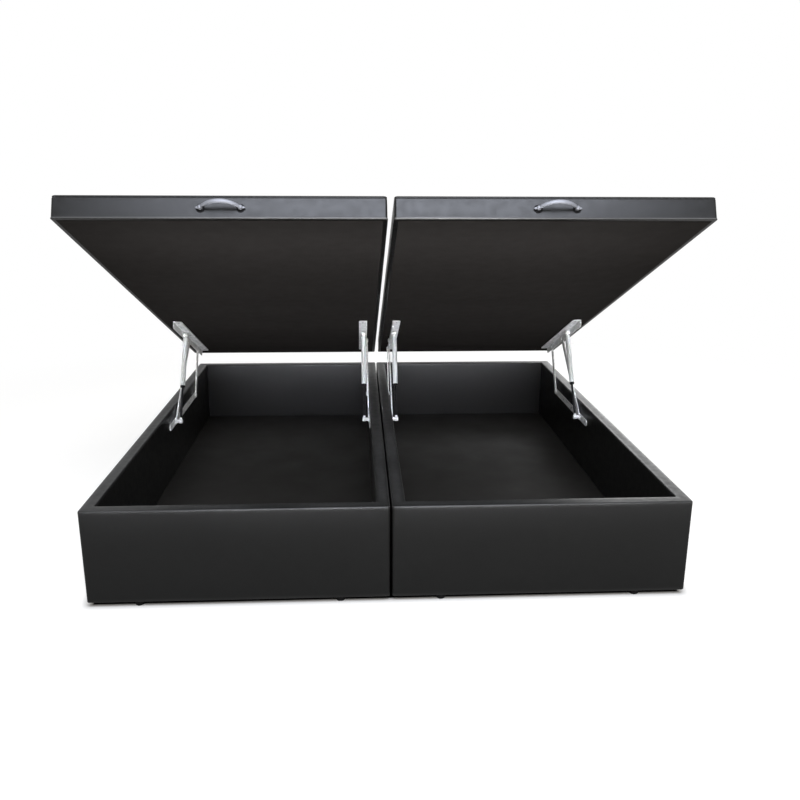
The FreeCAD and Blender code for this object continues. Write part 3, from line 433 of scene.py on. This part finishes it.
def passivated_screw():
    """Zinc-plated wood screws with dark passivation.

    They give the eye a dull dark grey with a fine crystalline mottle.
    """
    crystal = 1.2 * MM
    material, tree, place = new_material("passivated_screw")
    grains = add_node(tree, "ShaderNodeTexNoise", {
        "Vector": place, "Scale": 1 / crystal, "Detail": 3.0,
    })
    tint = add_node(tree, "ShaderNodeMix", {
        "Factor": grains.outputs["Fac"], LOW: colour("#4c4c4a"), HIGH: colour("#6a6a67"),
    }, data_type="RGBA")
    gloss = add_node(tree, "ShaderNodeMapRange", {
        "Value": grains.outputs["Fac"], "To Min": 0.45, "To Max": 0.65,
    })
    shader = add_node(tree, "ShaderNodeBsdfPrincipled", {
        "Base Color": tint.outputs[MIXED], "Roughness": gloss.outputs["Result"], "Metallic": 0.4,
    })
    add_node(tree, "ShaderNodeOutputMaterial", {"Surface": shader.outputs["BSDF"]})
    return material


def grey_enamel():
    """Stoved light grey enamel on the strut cylinders.

    It gives the eye an even half-gloss with faint orange peel.
    """
    peel, cloud = 2.2 * MM, 30 * MM
    material, tree, place = new_material("grey_enamel")
    skin = add_node(tree, "ShaderNodeTexNoise", {
        "Vector": place, "Scale": 1 / peel, "Detail": 1.0,
    })
    clouds = add_node(tree, "ShaderNodeTexNoise", {
        "Vector": place, "Scale": 1 / cloud, "Detail": 4.0,
    })
    tint = add_node(tree, "ShaderNodeMix", {
        "Factor": clouds.outputs["Fac"], LOW: colour("#c4c8c7"), HIGH: colour("#d0d3d2"),
    }, data_type="RGBA")
    gloss = add_node(tree, "ShaderNodeMapRange", {
        "Value": clouds.outputs["Fac"], "To Min": 0.25, "To Max": 0.4,
    })
    relief = add_node(tree, "ShaderNodeBump", {
        "Height": skin.outputs["Fac"], "Strength": 0.1, "Distance": 0.1 * MM,
    })
    shader = add_node(tree, "ShaderNodeBsdfPrincipled", {
        "Base Color": tint.outputs[MIXED], "Roughness": gloss.outputs["Result"],
        "Normal": relief.outputs["Normal"],
    })
    add_node(tree, "ShaderNodeOutputMaterial", {"Surface": shader.outputs["BSDF"]})
    return material


def nitrided_rod():
    """Black-nitrided ground steel of the piston rods.

    It gives the eye a dark, smooth and shiny surface with traces of grinding.
    """
    trace = 1.5 * MM
    material, tree, place = new_material("nitrided_rod")
    marks = add_node(tree, "ShaderNodeTexNoise", {
        "Vector": place, "Scale": 1 / trace, "Detail": 2.0,
    })
    tint = add_node(tree, "ShaderNodeMix", {
        "Factor": marks.outputs["Fac"], LOW: colour("#161617"), HIGH: colour("#2a2a2c"),
    }, data_type="RGBA")
    gloss = add_node(tree, "ShaderNodeMapRange", {
        "Value": marks.outputs["Fac"], "To Min": 0.2, "To Max": 0.35,
    })
    shader = add_node(tree, "ShaderNodeBsdfPrincipled", {
        "Base Color": tint.outputs[MIXED], "Roughness": gloss.outputs["Result"], "Metallic": 0.6,
    })
    add_node(tree, "ShaderNodeOutputMaterial", {"Surface": shader.outputs["BSDF"]})
    return material


def black_polyamide():
    """Moulded black polyamide of the feet and the rod glands.

    It gives the eye a dull black with a fine spark-eroded texture.
    """
    spark, cloud = 1.2 * MM, 12 * MM
    material, tree, place = new_material("black_polyamide")
    pits = add_node(tree, "ShaderNodeTexNoise", {
        "Vector": place, "Scale": 1 / spark, "Detail": 3.0,
    })
    scuffs = add_node(tree, "ShaderNodeTexNoise", {
        "Vector": place, "Scale": 1 / cloud, "Detail": 5.0,
    })
    tint = add_node(tree, "ShaderNodeMix", {
        "Factor": scuffs.outputs["Fac"], LOW: colour("#060606"), HIGH: colour("#0c0c0c"),
    }, data_type="RGBA")
    gloss = add_node(tree, "ShaderNodeMapRange", {
        "Value": scuffs.outputs["Fac"], "To Min": 0.4, "To Max": 0.6,
    })
    relief = add_node(tree, "ShaderNodeBump", {
        "Height": pits.outputs["Fac"], "Strength": 0.3, "Distance": 0.1 * MM,
    })
    shader = add_node(tree, "ShaderNodeBsdfPrincipled", {
        "Base Color": tint.outputs[MIXED], "Roughness": gloss.outputs["Result"],
        "Normal": relief.outputs["Normal"], "Specular IOR Level": 0.15,
    })
    add_node(tree, "ShaderNodeOutputMaterial", {"Surface": shader.outputs["BSDF"]})
    return material


def satin_chrome():
    """Die-cast zinc with satin chrome plating.

    It gives the eye a silvery metal with a soft streaked reflection along the bow. The posts' feet
    are painted dark, as painted shade round each ball.
    """
    streak, length = 0.8 * MM, 30 * MM
    material, tree, place = new_material("satin_chrome")
    drawn = add_node(tree, "ShaderNodeMapping", {
        "Vector": place, "Scale": (1 / length, 1 / streak, 1 / streak),
    })
    brush = add_node(tree, "ShaderNodeTexNoise", {
        "Vector": drawn.outputs["Vector"], "Scale": 1.0, "Detail": 3.0,
    })
    tint = add_node(tree, "ShaderNodeMix", {
        "Factor": brush.outputs["Fac"], LOW: colour("#78797d"), HIGH: colour("#8e8f93"),
    }, data_type="RGBA")
    # The posts' feet get painted shade: a dark tint round each ball
    foot_shade_mark = add_node(tree, "ShaderNodeAttribute", attribute_name="tarnish")
    foot_shaded = add_node(tree, "ShaderNodeMix", {
        "Factor": foot_shade_mark.outputs["Fac"], LOW: tint.outputs[MIXED], HIGH: colour("#1b1b1c"),
    }, data_type="RGBA")
    gloss = add_node(tree, "ShaderNodeMapRange", {
        "Value": brush.outputs["Fac"], "To Min": 0.6, "To Max": 0.74,
    })
    relief = add_node(tree, "ShaderNodeBump", {
        "Height": brush.outputs["Fac"], "Strength": 0.1, "Distance": 0.05 * MM,
    })
    shader = add_node(tree, "ShaderNodeBsdfPrincipled", {
        "Base Color": foot_shaded.outputs[MIXED], "Roughness": gloss.outputs["Result"],
        "Normal": relief.outputs["Normal"], "Metallic": 1.0,
    })
    add_node(tree, "ShaderNodeOutputMaterial", {"Surface": shader.outputs["BSDF"]})
    return material


def mesh_piece(name, points, faces, material, body, marks=None):
    """A smooth mesh object at the origin from a grid's points and its quads, riding on a body.

    marks are named values for the points, between 0 and 1, which the material reads.
    """
    mesh = bpy.data.meshes.new(name)
    mesh.vertices.add(points.size // 3)
    mesh.vertices.foreach_set("co", points.astype(np.float32).ravel())
    mesh.loops.add(faces.size)
    mesh.loops.foreach_set("vertex_index", faces.astype(np.int32).ravel())
    mesh.polygons.add(len(faces))
    starts = np.arange(0, faces.size, faces.shape[1], dtype=np.int32)
    mesh.polygons.foreach_set("loop_start", starts)
    mesh.update(calc_edges=True)
    for key, values in (marks or {}).items():
        layer = mesh.attributes.new(key, "FLOAT", "POINT")
        values = np.clip(np.broadcast_to(values, points.shape[:-1]), 0, 1)
        layer.data.foreach_set("value", values.astype(np.float32).ravel())
    shell = bmesh.new()
    shell.from_mesh(mesh)
    bmesh.ops.remove_doubles(shell, verts=shell.verts, dist=WELD)
    bmesh.ops.dissolve_degenerate(shell, edges=shell.edges, dist=WELD)
    shell.to_mesh(mesh)
    shell.free()
    mesh.validate()
    mesh.shade_smooth()
    mesh.materials.append(material)
    piece = bpy.data.objects.new(name, mesh)
    bpy.context.scene.collection.objects.link(piece)
    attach(piece, body)
    return piece


def grid_faces(rows, columns, wrap_rows=False):
    """Four corner indices of each quad between neighbours in a grid that is stored row by row."""
    last_row = rows if wrap_rows else rows - 1
    row, column = np.meshgrid(np.arange(last_row), np.arange(columns - 1), indexing="ij")
    after = (row + 1) % rows
    quads = (row * columns + column, after * columns + column,
             after * columns + column + 1, row * columns + column + 1)
    return np.stack(quads, -1).reshape(-1, 4)


def ease(value):
    """Smooth step from 0 at 0 to 1 at 1."""
    value = np.clip(value, 0, 1)
    return value * value * (3 - 2 * value)


def bell(value, middle, width):
    """Bell curve of 1 at the middle, which falls to 0.37 at the width from there."""
    return np.exp(-((value - middle) / width) ** 2)


def near_top(height):
    """Smooth step over the last part of a height that runs from 0 to 1."""
    return ease((height - TOP_START) / (1 - TOP_START))


def swelling(height, share):
    """Bulge of a padded face: a power of sin(pi * height), which fades out at the corners."""
    return np.sin(np.pi * height) ** SWELL_POWER * (1 - np.abs(share) ** CORNER_POWER)


def uneven(points, amount, length):
    """A factor that waves slowly by the amount about 1, from sines of unrelated wavelengths."""
    x, y, z = (2 * np.pi * points[..., axis] / length for axis in range(3))
    waves = (np.sin(1.0 * x + 0.7 * z + 0.4) * np.cos(0.83 * y - 0.9 * z)
             + 0.6 * np.sin(1.9 * y + 1.3 * x + 1.1) * np.cos(1.7 * z + 0.5)) / 1.6
    return 1 + amount * waves


def plan_ring():
    """Places round a rounded rectangle as complex numbers, anticlockwise from the front's left end.

    A place lies at anchor * (half size - radius) + normal * radius: the anchor runs along a side or
    stays at a corner's centre, and the normal points outwards. share runs -1 to 1 along a side and
    is 1 on an arc.
    """
    out = np.exp(0.5j * np.pi * np.arange(-1, 3))[:, None]
    run = np.linspace(-1, 1, SIDE_STEPS, endpoint=False)[None]
    arc = np.linspace(0, 1, CORNER_STEPS, endpoint=False)[None]
    anchor = np.hstack([out + 1j * out * run, (out + 1j * out) * np.ones_like(arc)])
    normal = np.hstack([out * np.ones_like(run), out * np.exp(0.5j * np.pi * arc)])
    share = np.hstack([np.repeat(run, 4, 0), np.ones((4, CORNER_STEPS))])
    return anchor.reshape(-1, 1), normal.reshape(-1, 1), share.reshape(-1, 1)


def rounded_section(corners, radii, runs):
    """A section through corners given as inset + 1j * height, each inner corner rounded.

    An arc of turn w starts radius * tan(w / 2) before its corner. Straight runs have the given
    steps.
    """
    parts, start = [], corners[0]
    for index, radius in enumerate(radii, 1):
        corner = corners[index]
        towards = (corner - corners[index - 1]) / abs(corner - corners[index - 1])
        away = (corners[index + 1] - corner) / abs(corners[index + 1] - corner)
        turn = np.angle(away / towards)
        cut = radius * math.tan(abs(turn) / 2)
        arc_start = corner - towards * cut
        centre = arc_start + 1j * math.copysign(radius, turn) * towards
        swing = np.exp(1j * turn * np.linspace(0, 1, ARC_STEPS, endpoint=False))
        straight = np.linspace(0, 1, runs[index - 1], endpoint=False)
        parts.append(start + (arc_start - start) * straight)
        parts.append(centre + (arc_start - centre) * swing)
        start = corner + away * cut
    parts.append(start + (corners[-1] - start) * np.linspace(0, 1, runs[-1]))
    return np.concatenate(parts)


def ring_surface(middle, half_size, section, radius):
    """Points of a section carried round a rounded rectangle, with outward directions and shares.

    At each inset of the section the rectangle's half size shrinks by the inset, and its corners
    have the radius given for that inset.
    """
    anchor, normal, share = plan_ring()
    inset, height = section.real[None], section.imag[None]
    across = anchor.real * (half_size[0] - inset - radius) + normal.real * radius
    along = anchor.imag * (half_size[1] - inset - radius) + normal.imag * radius
    level = np.broadcast_to(height, across.shape)
    return np.stack([middle[0] + across, middle[1] + along, level], -1), normal, share


def tray_skin(half, material):
    """Padded skin of a tray: a wall section carried round the tray's plan.

    The section goes from the hem under the wall up the outside, over the rim and down to the floor
    panel. The faces swell, and the rim is crowned as sin(pi * share of the wall). Painted highlight
    lines are bell curves of the height at the upper edge and at the hem. The rim gets a painted
    sheen and is matt as far as it is crowned.
    """
    low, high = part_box(f"{half}_base_cover")
    bars_low, bars_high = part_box(f"{half}_base_bars")
    floor_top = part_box(f"{half}_floor_panel")[1].z
    middle, size = (low + high) / 2, (high - low) / 2
    wall = size.x - (bars_high.x - bars_low.x) / 2
    bottom, rim = low.z - SKIN_UNDER, high.z
    corners = [TRAY_HEM + 1j * bottom, 1j * bottom, 1j * rim, wall + 1j * rim,
               wall + 1j * (floor_top - SKIN_UNDER)]
    radii = [TRAY_HEM_RADIUS, TRAY_RIM_RADIUS, TRAY_RIM_RADIUS]
    section = rounded_section(corners, radii, TRAY_RUNS)
    inset = section.real
    radius = np.maximum(TRAY_CORNER_RADIUS - inset, TRAY_INNER_RADIUS)[None]
    points, normal, share = ring_surface(middle, size, section, radius)
    height = np.clip((section.imag - bottom) / (rim - bottom), 0, 1)[None]
    outside = 1 - ease(inset / TRAY_RIM_RADIUS)[None]
    inside = ease((inset - wall + TRAY_RIM_RADIUS) / TRAY_RIM_RADIUS)[None]
    swell = TRAY_BULGE * swelling(height, share) * uneven(points, TRAY_UNEVEN, TRAY_WAVE)
    push = swell * (outside - TRAY_INNER_BULGE * inside)
    points[..., 0] += normal.real * push
    points[..., 1] += normal.imag * push
    on_rim = np.sin(np.pi * np.clip(inset / wall, 0, 1))[None] * near_top(height)
    points[..., 2] += on_rim * RIM_CROWN * uneven(points, RIM_UNEVEN, RIM_WAVE)
    edge_level = 1 - EDGE_HIGHLIGHT_DROP * TRAY_RIM_RADIUS / (rim - bottom)
    # Painted highlights: pale tint on the rim, along the upper edge and along the hem
    rub = RIM_PAINTED_SHEEN * on_rim
    rub = rub + EDGE_PAINTED_HIGHLIGHT * bell(height, edge_level, EDGE_HIGHLIGHT_WIDTH) * outside
    rub = rub + HEM_PAINTED_HIGHLIGHT * bell(height, HEM_HIGHLIGHT_LEVEL, HEM_HIGHLIGHT_WIDTH) * outside
    marks = {"rub": rub * uneven(points, HIGHLIGHT_UNEVEN, HIGHLIGHT_WAVE), "matt": RIM_MATT * on_rim}
    faces = grid_faces(*points.shape[:2], wrap_rows=True)
    piece = mesh_piece(
        f"{half}_tray_skin", points, faces, material, "base", marks)
    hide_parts(f"{half}_base_cover")


def lid_place(half):
    """Where a lid lies: its middle in x, its length, and how its closed frame is raised.

    The raised frame is turned up by the tilt of the mattress rest's axis. Its origin is the lid's
    back lower edge, half a length behind the rest and a thickness below it.
    """
    mounts = frame["record"]["mounts"]
    rest = next(mount for mount in mounts if mount["name"] == f"{half}_mattress_rest")
    tilt = math.atan2(rest["axis"][1], rest["axis"][2])
    low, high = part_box(f"{half}_base_cover")
    length = high.y - low.y
    cosine, sine = math.cos(tilt), math.sin(tilt)
    turn = np.array([(1, 0, 0), (0, cosine, sine), (0, -sine, cosine)])
    middle_x = rest["pos_m"][0]
    origin = np.array(rest["pos_m"]) - turn @ (middle_x, -length / 2, LID_THICKNESS)
    return middle_x, length, lambda points: points @ turn.T + origin


def lid_skin(half, material):
    """Padded skin of a lid: hem, bead, side, border seam and crowned top, round the lid's plan.

    The last ring of the section collapses on the plan's middle line, so the top is closed. The
    crown is 1 less a power of (1 - inset share). The bead and the seam are bell curves of the
    height, and the seam's stitches dimple it at their pitch. The seam gets painted shade. The bead
    gets a painted highlight on the front, strongest near the bed's middle, and the top is matt.
    """
    low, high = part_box(f"{half}_lid_cover")
    middle_x, length, raised = lid_place(half)
    half_x, half_y = (high.x - low.x) / 2, length / 2
    corners = [LID_HEM + 1j * LID_HEM_LEVEL, 1j * LID_HEM_LEVEL, 1j * LID_THICKNESS,
               half_x + 1j * LID_THICKNESS]
    section = rounded_section(corners, [LID_HEM_RADIUS, LID_EDGE_RADIUS], LID_RUNS)
    inset, height = section.real, section.imag
    radius = np.clip(LID_CORNER_RADIUS * (1 - inset / half_x), 0, None)[None]
    points, normal, share = ring_surface((middle_x, -half_y), (half_x, half_y), section, radius)
    up = np.clip((height - LID_HEM_LEVEL) / (LID_THICKNESS - LID_HEM_LEVEL), 0, 1)[None]
    outside = 1 - ease(inset / LID_EDGE_RADIUS)[None]
    on_top = ease(inset / LID_EDGE_RADIUS)[None] * (up > 0.5)
    swell = LID_BULGE * swelling(up, share) * uneven(points, LID_UNEVEN, LID_WAVE)
    bead = bell(height, BEAD_LEVEL, BEAD_WIDTH)[None]
    sunk = bell(height, SEAM_LEVEL, SEAM_WIDTH)[None]
    run = np.abs(normal.real) * points[..., 1] + np.abs(normal.imag) * points[..., 0]
    stitched = sunk * (1 + STITCH_DEPTH * np.cos(2 * np.pi * run / STITCH_PITCH))
    push = outside * (swell + BEAD_RISE * bead - SEAM_DEPTH * stitched)
    points[..., 0] += normal.real * push
    points[..., 1] += normal.imag * push
    crown = 1 - (1 - np.clip(inset / half_x, 0, 1)) ** LID_CROWN_POWER
    crown = LID_CROWN * crown[None] * near_top(up)
    points[..., 2] += crown * uneven(points, CROWN_UNEVEN, CROWN_WAVE)
    # Painted highlight on the bead: on the front only, strongest near the bed's middle
    to_front = np.clip(-normal.imag, 0, 1)
    glint_near_middle = BEAD_GLINT_ENDS + (1 - BEAD_GLINT_ENDS) * bell(points[..., 0], 0, BEAD_GLINT_REACH)
    rub = BEAD_PAINTED_GLINT * bead * outside * uneven(points, BEAD_UNEVEN, BEAD_WAVE) * to_front * glint_near_middle
    # The seam mark paints shade into the seam's groove
    marks = {"rub": rub, "seam": SEAM_SHADE * sunk * outside, "matt": on_top}
    faces = grid_faces(*points.shape[:2], wrap_rows=True)
    piece = mesh_piece(
        f"{half}_lid_skin", raised(points), faces, material, f"{half}_lid", marks)
    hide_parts(f"{half}_lid_cover")


def lid_lining(half, material):
    """Cloth stretched under a lid: a flat grid that sags between the side rails and the ribs.

    The sag is a product of powers of a cosine across and a sine along, which are 0 on the side
    rails and on each rib, and it fades out towards the end rails.
    """
    low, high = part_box(f"{half}_lid_cover")
    middle_x, length, raised = lid_place(half)
    half_x, half_y = (high.x - low.x) / 2 - LINING_INSET, length / 2 - LINING_INSET
    across, along = np.meshgrid(np.linspace(-half_x, half_x, LINING_STEPS[0]),
                                np.linspace(-half_y, half_y, LINING_STEPS[1]))
    open_x = half_x + LINING_INSET - RAIL_WIDTH
    open_y = half_y + LINING_INSET - RAIL_WIDTH
    between_rails = np.cos(0.5 * np.pi * np.clip(across / open_x, -1, 1)) ** RAIL_POWER
    between_ribs = np.abs(np.sin(np.pi * along / RIB_PITCH)) ** RIB_POWER
    between_ribs *= ease((open_y - np.abs(along)) / RAIL_WIDTH)
    level = LINING_LEVEL - LINING_SAG * between_rails * between_ribs
    points = np.stack([middle_x + across, along - length / 2, level], -1)
    faces = grid_faces(*across.shape)
    piece = mesh_piece(
        f"{half}_lining_cloth", raised(points), faces, material, f"{half}_lid")
    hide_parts(f"{half}_lid_lining")


def bow_handle(half, material):
    """Bow handle: an oval section carried along a bow, on two turned posts.

    The bow is a circle's arc of the given rise between the posts, in a plane that leans up. Beyond
    them a smooth maximum keeps it just above the lid's face. The oval's taller axis stays nearly
    upright, and it tapers to rounded tips. Each post is a profile turned round the face's normal: a
    foot painted dark as shade, a neck and a ball.
    """
    middle_x, length, raised = lid_place(half)
    circle = (HANDLE_SPACING ** 2 / 4 + HANDLE_RISE ** 2) / (2 * HANDLE_RISE)
    share = np.sin(0.5 * np.pi * np.linspace(-1, 1, GRIP_STEPS[0]))
    x = HANDLE_REACH * share
    arc = np.sqrt(circle ** 2 - x ** 2) - (circle - HANDLE_RISE)
    rise = 0.5 * (arc - HANDLE_TIP_DROP + np.hypot(arc + HANDLE_TIP_DROP, GRIP_BLEND))
    side = np.array([1, 0, 0])
    lean = np.array([0, -math.cos(HANDLE_LEAN), math.sin(HANDLE_LEAN)])
    upright = np.array([0, math.sin(GRIP_LEAN), math.cos(GRIP_LEAN)])
    across = np.cross(upright, side + lean * np.gradient(rise, x)[:, None])
    across /= np.linalg.norm(across, axis=1, keepdims=True)
    beyond = np.clip(np.abs(share) - HANDLE_TIP_START, 0, 1) / (1 - HANDLE_TIP_START)
    tip = np.sqrt(np.clip(1 - beyond ** 2, 0, 1))
    tall = GRIP_TALL * (1 - GRIP_TALL_TAPER * share ** 2) * tip
    thick = GRIP_THICK * (1 - GRIP_THICK_TAPER * share ** 2) * tip
    angle = np.linspace(0, 2 * np.pi, GRIP_STEPS[1])[None, :, None]
    grip = (side * x[:, None] + lean * rise[:, None])[:, None]
    grip = grip + upright * tall[:, None, None] * np.cos(angle)
    grip = grip + across[:, None] * thick[:, None, None] * np.sin(angle)
    grip = grip + np.array([middle_x, -length - HANDLE_SEAT, HANDLE_LEVEL])
    ball = np.linspace(POST_BALL_START, 0.5 * np.pi, POST_STEPS[1])
    out = np.concatenate([POST_FOOT_OUT, HANDLE_SEAT + POST_BALL * np.sin(ball)])
    spread = np.concatenate([POST_FOOT_SPREAD, POST_BALL * np.cos(ball)])
    turn = np.linspace(0, 2 * np.pi, POST_STEPS[0])[:, None]
    posts = [np.stack([
        middle_x + end * HANDLE_SPACING / 2 + spread * np.cos(turn),
        -length - out + 0 * turn,
        HANDLE_LEVEL + spread * np.sin(turn),
    ], -1) for end in (-1, 1)]
    neck = POST_FOOT_OUT[-1]
    # The feet's dark tint is painted shade, fading out above the neck
    dull = 1 - ease((out - neck) / (FOOT_SHADE_END - neck)) + 0 * turn
    tarnish = np.concatenate([np.zeros(grip.size // 3), dull.ravel(), dull.ravel()])
    grids = [grip, *posts]
    starts = np.cumsum([0] + [grid.size // 3 for grid in grids])
    faces = np.vstack([grid_faces(*grid.shape[:2]) + start for grid, start in zip(grids, starts)])
    points = raised(np.vstack([grid.reshape(-1, 3) for grid in grids]))
    piece = mesh_piece(
        f"{half}_bow_handle", points, faces, material, f"{half}_lid",
        {"tarnish": tarnish})
    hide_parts(f"{half}_handle")


def seen_directly(tree):
    """1 for rays from the camera, from a reflection or through glass, and 0 for bounced light."""
    path = add_node(tree, "ShaderNodeLightPath")
    seen = add_node(tree, "ShaderNodeMath", {
        0: path.outputs["Is Camera Ray"], 1: path.outputs["Is Glossy Ray"],
    }, operation="MAXIMUM")
    return add_node(tree, "ShaderNodeMath", {
        0: seen.outputs[0], 1: path.outputs["Is Transmission Ray"],
    }, operation="MAXIMUM").outputs[0]


def studio_floor():
    """Pale floor that keeps the shadow near the bed and fades to plain white further out.

    Under the bed it is painted dark as a painted shadow, in from the bed's outline. Its light is
    lifted by the distance from there: soon for the camera, later for reflections.
    """
    material, tree, place = new_material("studio_floor")
    path = add_node(tree, "ShaderNodeLightPath")
    seen = seen_directly(tree)
    folded = add_node(tree, "ShaderNodeVectorMath", {0: place}, operation="ABSOLUTE")
    # Painted shadow: the floor's colour is dark within the bed's outline, less the insets
    painted_shadow_corner = (cad_high.x - PAINTED_SHADOW_INSET_SIDES, cad_high.y - PAINTED_SHADOW_INSET_ENDS, 0.0)
    beyond = add_node(tree, "ShaderNodeVectorMath", {
        0: folded.outputs[0], 1: painted_shadow_corner,
    }, operation="SUBTRACT")
    outside = add_node(tree, "ShaderNodeVectorMath", {
        0: beyond.outputs[0], 1: (0.0, 0.0, 0.0),
    }, operation="MAXIMUM")
    away = add_node(tree, "ShaderNodeVectorMath", {0: outside.outputs[0]}, operation="LENGTH")
    lift_end = add_node(tree, "ShaderNodeMapRange", {
        "Value": path.outputs["Is Camera Ray"], "To Min": WHITE_END, "To Max": LIFT_END,
    })
    rise = add_node(tree, "ShaderNodeMapRange", {
        "Value": away.outputs["Value"], "From Max": lift_end.outputs["Result"],
        "To Max": FLOOR_LIFT,
    })
    glow = add_node(tree, "ShaderNodeMath", {
        0: seen, 1: rise.outputs["Result"],
    }, operation="MULTIPLY")
    # Painted shadow under the bed: dark floor colour, blurred at its edge
    painted_shadow_fade = add_node(tree, "ShaderNodeMapRange", {
        "Value": away.outputs["Value"], "From Max": PAINTED_SHADOW_BLUR,
    })
    tint = add_node(tree, "ShaderNodeMix", {
        "Factor": painted_shadow_fade.outputs["Result"], LOW: colour("#0a0a09"), HIGH: colour("#a3a19c"),
    }, data_type="RGBA")
    paint = add_node(tree, "ShaderNodeBsdfDiffuse", {"Color": tint.outputs[MIXED]})
    lifted = add_node(tree, "ShaderNodeEmission", {"Strength": glow.outputs[0]})
    kept = add_node(tree, "ShaderNodeAddShader", {0: paint.outputs[0], 1: lifted.outputs[0]})
    fade = add_node(tree, "ShaderNodeMapRange", {
        "Value": away.outputs["Value"], "From Min": WHITE_START, "From Max": WHITE_END,
    }, interpolation_type="SMOOTHSTEP")
    share = add_node(tree, "ShaderNodeMath", {
        0: fade.outputs["Result"], 1: seen,
    }, operation="MULTIPLY")
    white = add_node(tree, "ShaderNodeEmission", {"Strength": 1.0})
    both = add_node(tree, "ShaderNodeMixShader", {
        0: share.outputs[0], 1: kept.outputs[0], 2: white.outputs[0],
    })
    add_node(tree, "ShaderNodeOutputMaterial", {"Surface": both.outputs[0]})
    mesh = bpy.data.meshes.new("studio_floor")
    signs = ((-1, -1), (1, -1), (1, 1), (-1, 1))
    corners = [(x * FLOOR_REACH, y * FLOOR_REACH, 0) for x, y in signs]
    mesh.from_pydata(corners, [], [(0, 1, 2, 3)])
    mesh.materials.append(material)
    floor = bpy.data.objects.new("studio_floor", mesh)
    bpy.context.scene.collection.objects.link(floor)


def studio_light():
    """White surroundings with soft ambient light, and area lamps that each look at their aim.

    The softbox over the front gives the lids' fronts their sheen, and the front fill lights the
    rest. Three low, narrow lamps reach into the trays, to the mechanisms and under the lids, and
    the back light shows on the rims.
    """
    world = bpy.data.worlds.new("studio")
    world.use_nodes = True
    tree = world.node_tree
    tree.nodes.clear()
    level = add_node(tree, "ShaderNodeMapRange", {
        "Value": seen_directly(tree), "To Min": AMBIENT, "To Max": 1.0,
    })
    sky = add_node(tree, "ShaderNodeBackground", {
        "Color": colour("#ffffff"), "Strength": level.outputs["Result"],
    })
    add_node(tree, "ShaderNodeOutputWorld", {"Surface": sky.outputs[0]})
    bpy.context.scene.world = world
    for name, tint, place, aim, width, height, power, spread in LAMPS:
        lamp = bpy.data.lights.new(name, "AREA")
        lamp.shape = "RECTANGLE"
        lamp.color = colour(tint)[:3]
        lamp.size, lamp.size_y, lamp.energy = width, height, power
        lamp.spread = math.radians(spread)
        holder = bpy.data.objects.new(name, lamp)
        holder.location = place
        holder.rotation_euler = (Vector(aim) - Vector(place)).to_track_quat("-Z", "Y").to_euler()
        holder.visible_camera = False
        bpy.context.scene.collection.objects.link(holder)


def photo_camera():
    """The photograph's view: turned by the yaw about Z, tipped down by the pitch and rolled."""
    forward = Vector((math.sin(CAMERA_YAW) * math.cos(CAMERA_PITCH),
                      math.cos(CAMERA_YAW) * math.cos(CAMERA_PITCH), -math.sin(CAMERA_PITCH)))
    level = Vector((math.cos(CAMERA_YAW), -math.sin(CAMERA_YAW), 0))
    upward = level.cross(forward)
    right = level * math.cos(CAMERA_ROLL) + upward * math.sin(CAMERA_ROLL)
    top = upward * math.cos(CAMERA_ROLL) - level * math.sin(CAMERA_ROLL)
    lens = bpy.data.cameras.new("photo_camera")
    lens.sensor_width = SENSOR
    lens.lens = FOCAL_PIXELS / IMAGE_SIZE * SENSOR
    lens.clip_end = CAMERA_REACH
    holder = bpy.data.objects.new("photo_camera", lens)
    turn = Matrix((right, top, -forward)).transposed().to_4x4()
    holder.matrix_world = Matrix.Translation(CAMERA_PLACE) @ turn
    bpy.context.scene.collection.objects.link(holder)
    bpy.context.scene.camera = holder


bpy.context.scene.view_settings.view_transform = "Standard"
studio_floor()
studio_light()
photo_camera()

leatherette, lining, hardboard = black_leatherette(), spunbond_lining(), dark_hardboard()
pine, zinc, enamel, rod = sawn_pine(), zinc_plated_steel(), grey_enamel(), nitrided_rod()
polyamide, chrome, screw = black_polyamide(), satin_chrome(), passivated_screw()

# The finish of each node, by its name without the half. The other nodes are zinc-plated.
finishes = {
    "side_boards": pine, "end_boards": pine, "floor_joists": pine, "lid_side_rails": pine,
    "lid_end_rails": pine, "lid_ribs": pine, "lid_deck": pine, "floor_panel": hardboard,
    "base_cover": leatherette, "lid_cover": leatherette, "lid_lining": lining,
    "feet": polyamide, "strut_glands": polyamide, "strut_rods": rod, "strut_cylinders": enamel,
    "handle": chrome, "base_bar_screws": screw, "lid_bar_screws": screw, "handle_screws": screw,
}
for name, node in frame["nodes"].items():
    node.data.materials.clear()
    node.data.materials.append(finishes.get(name.split("_", 1)[1], zinc))
for half in HALVES:
    tray_skin(half, leatherette)
    lid_skin(half, leatherette)
    lid_lining(half, lining)
    bow_handle(half, chrome)
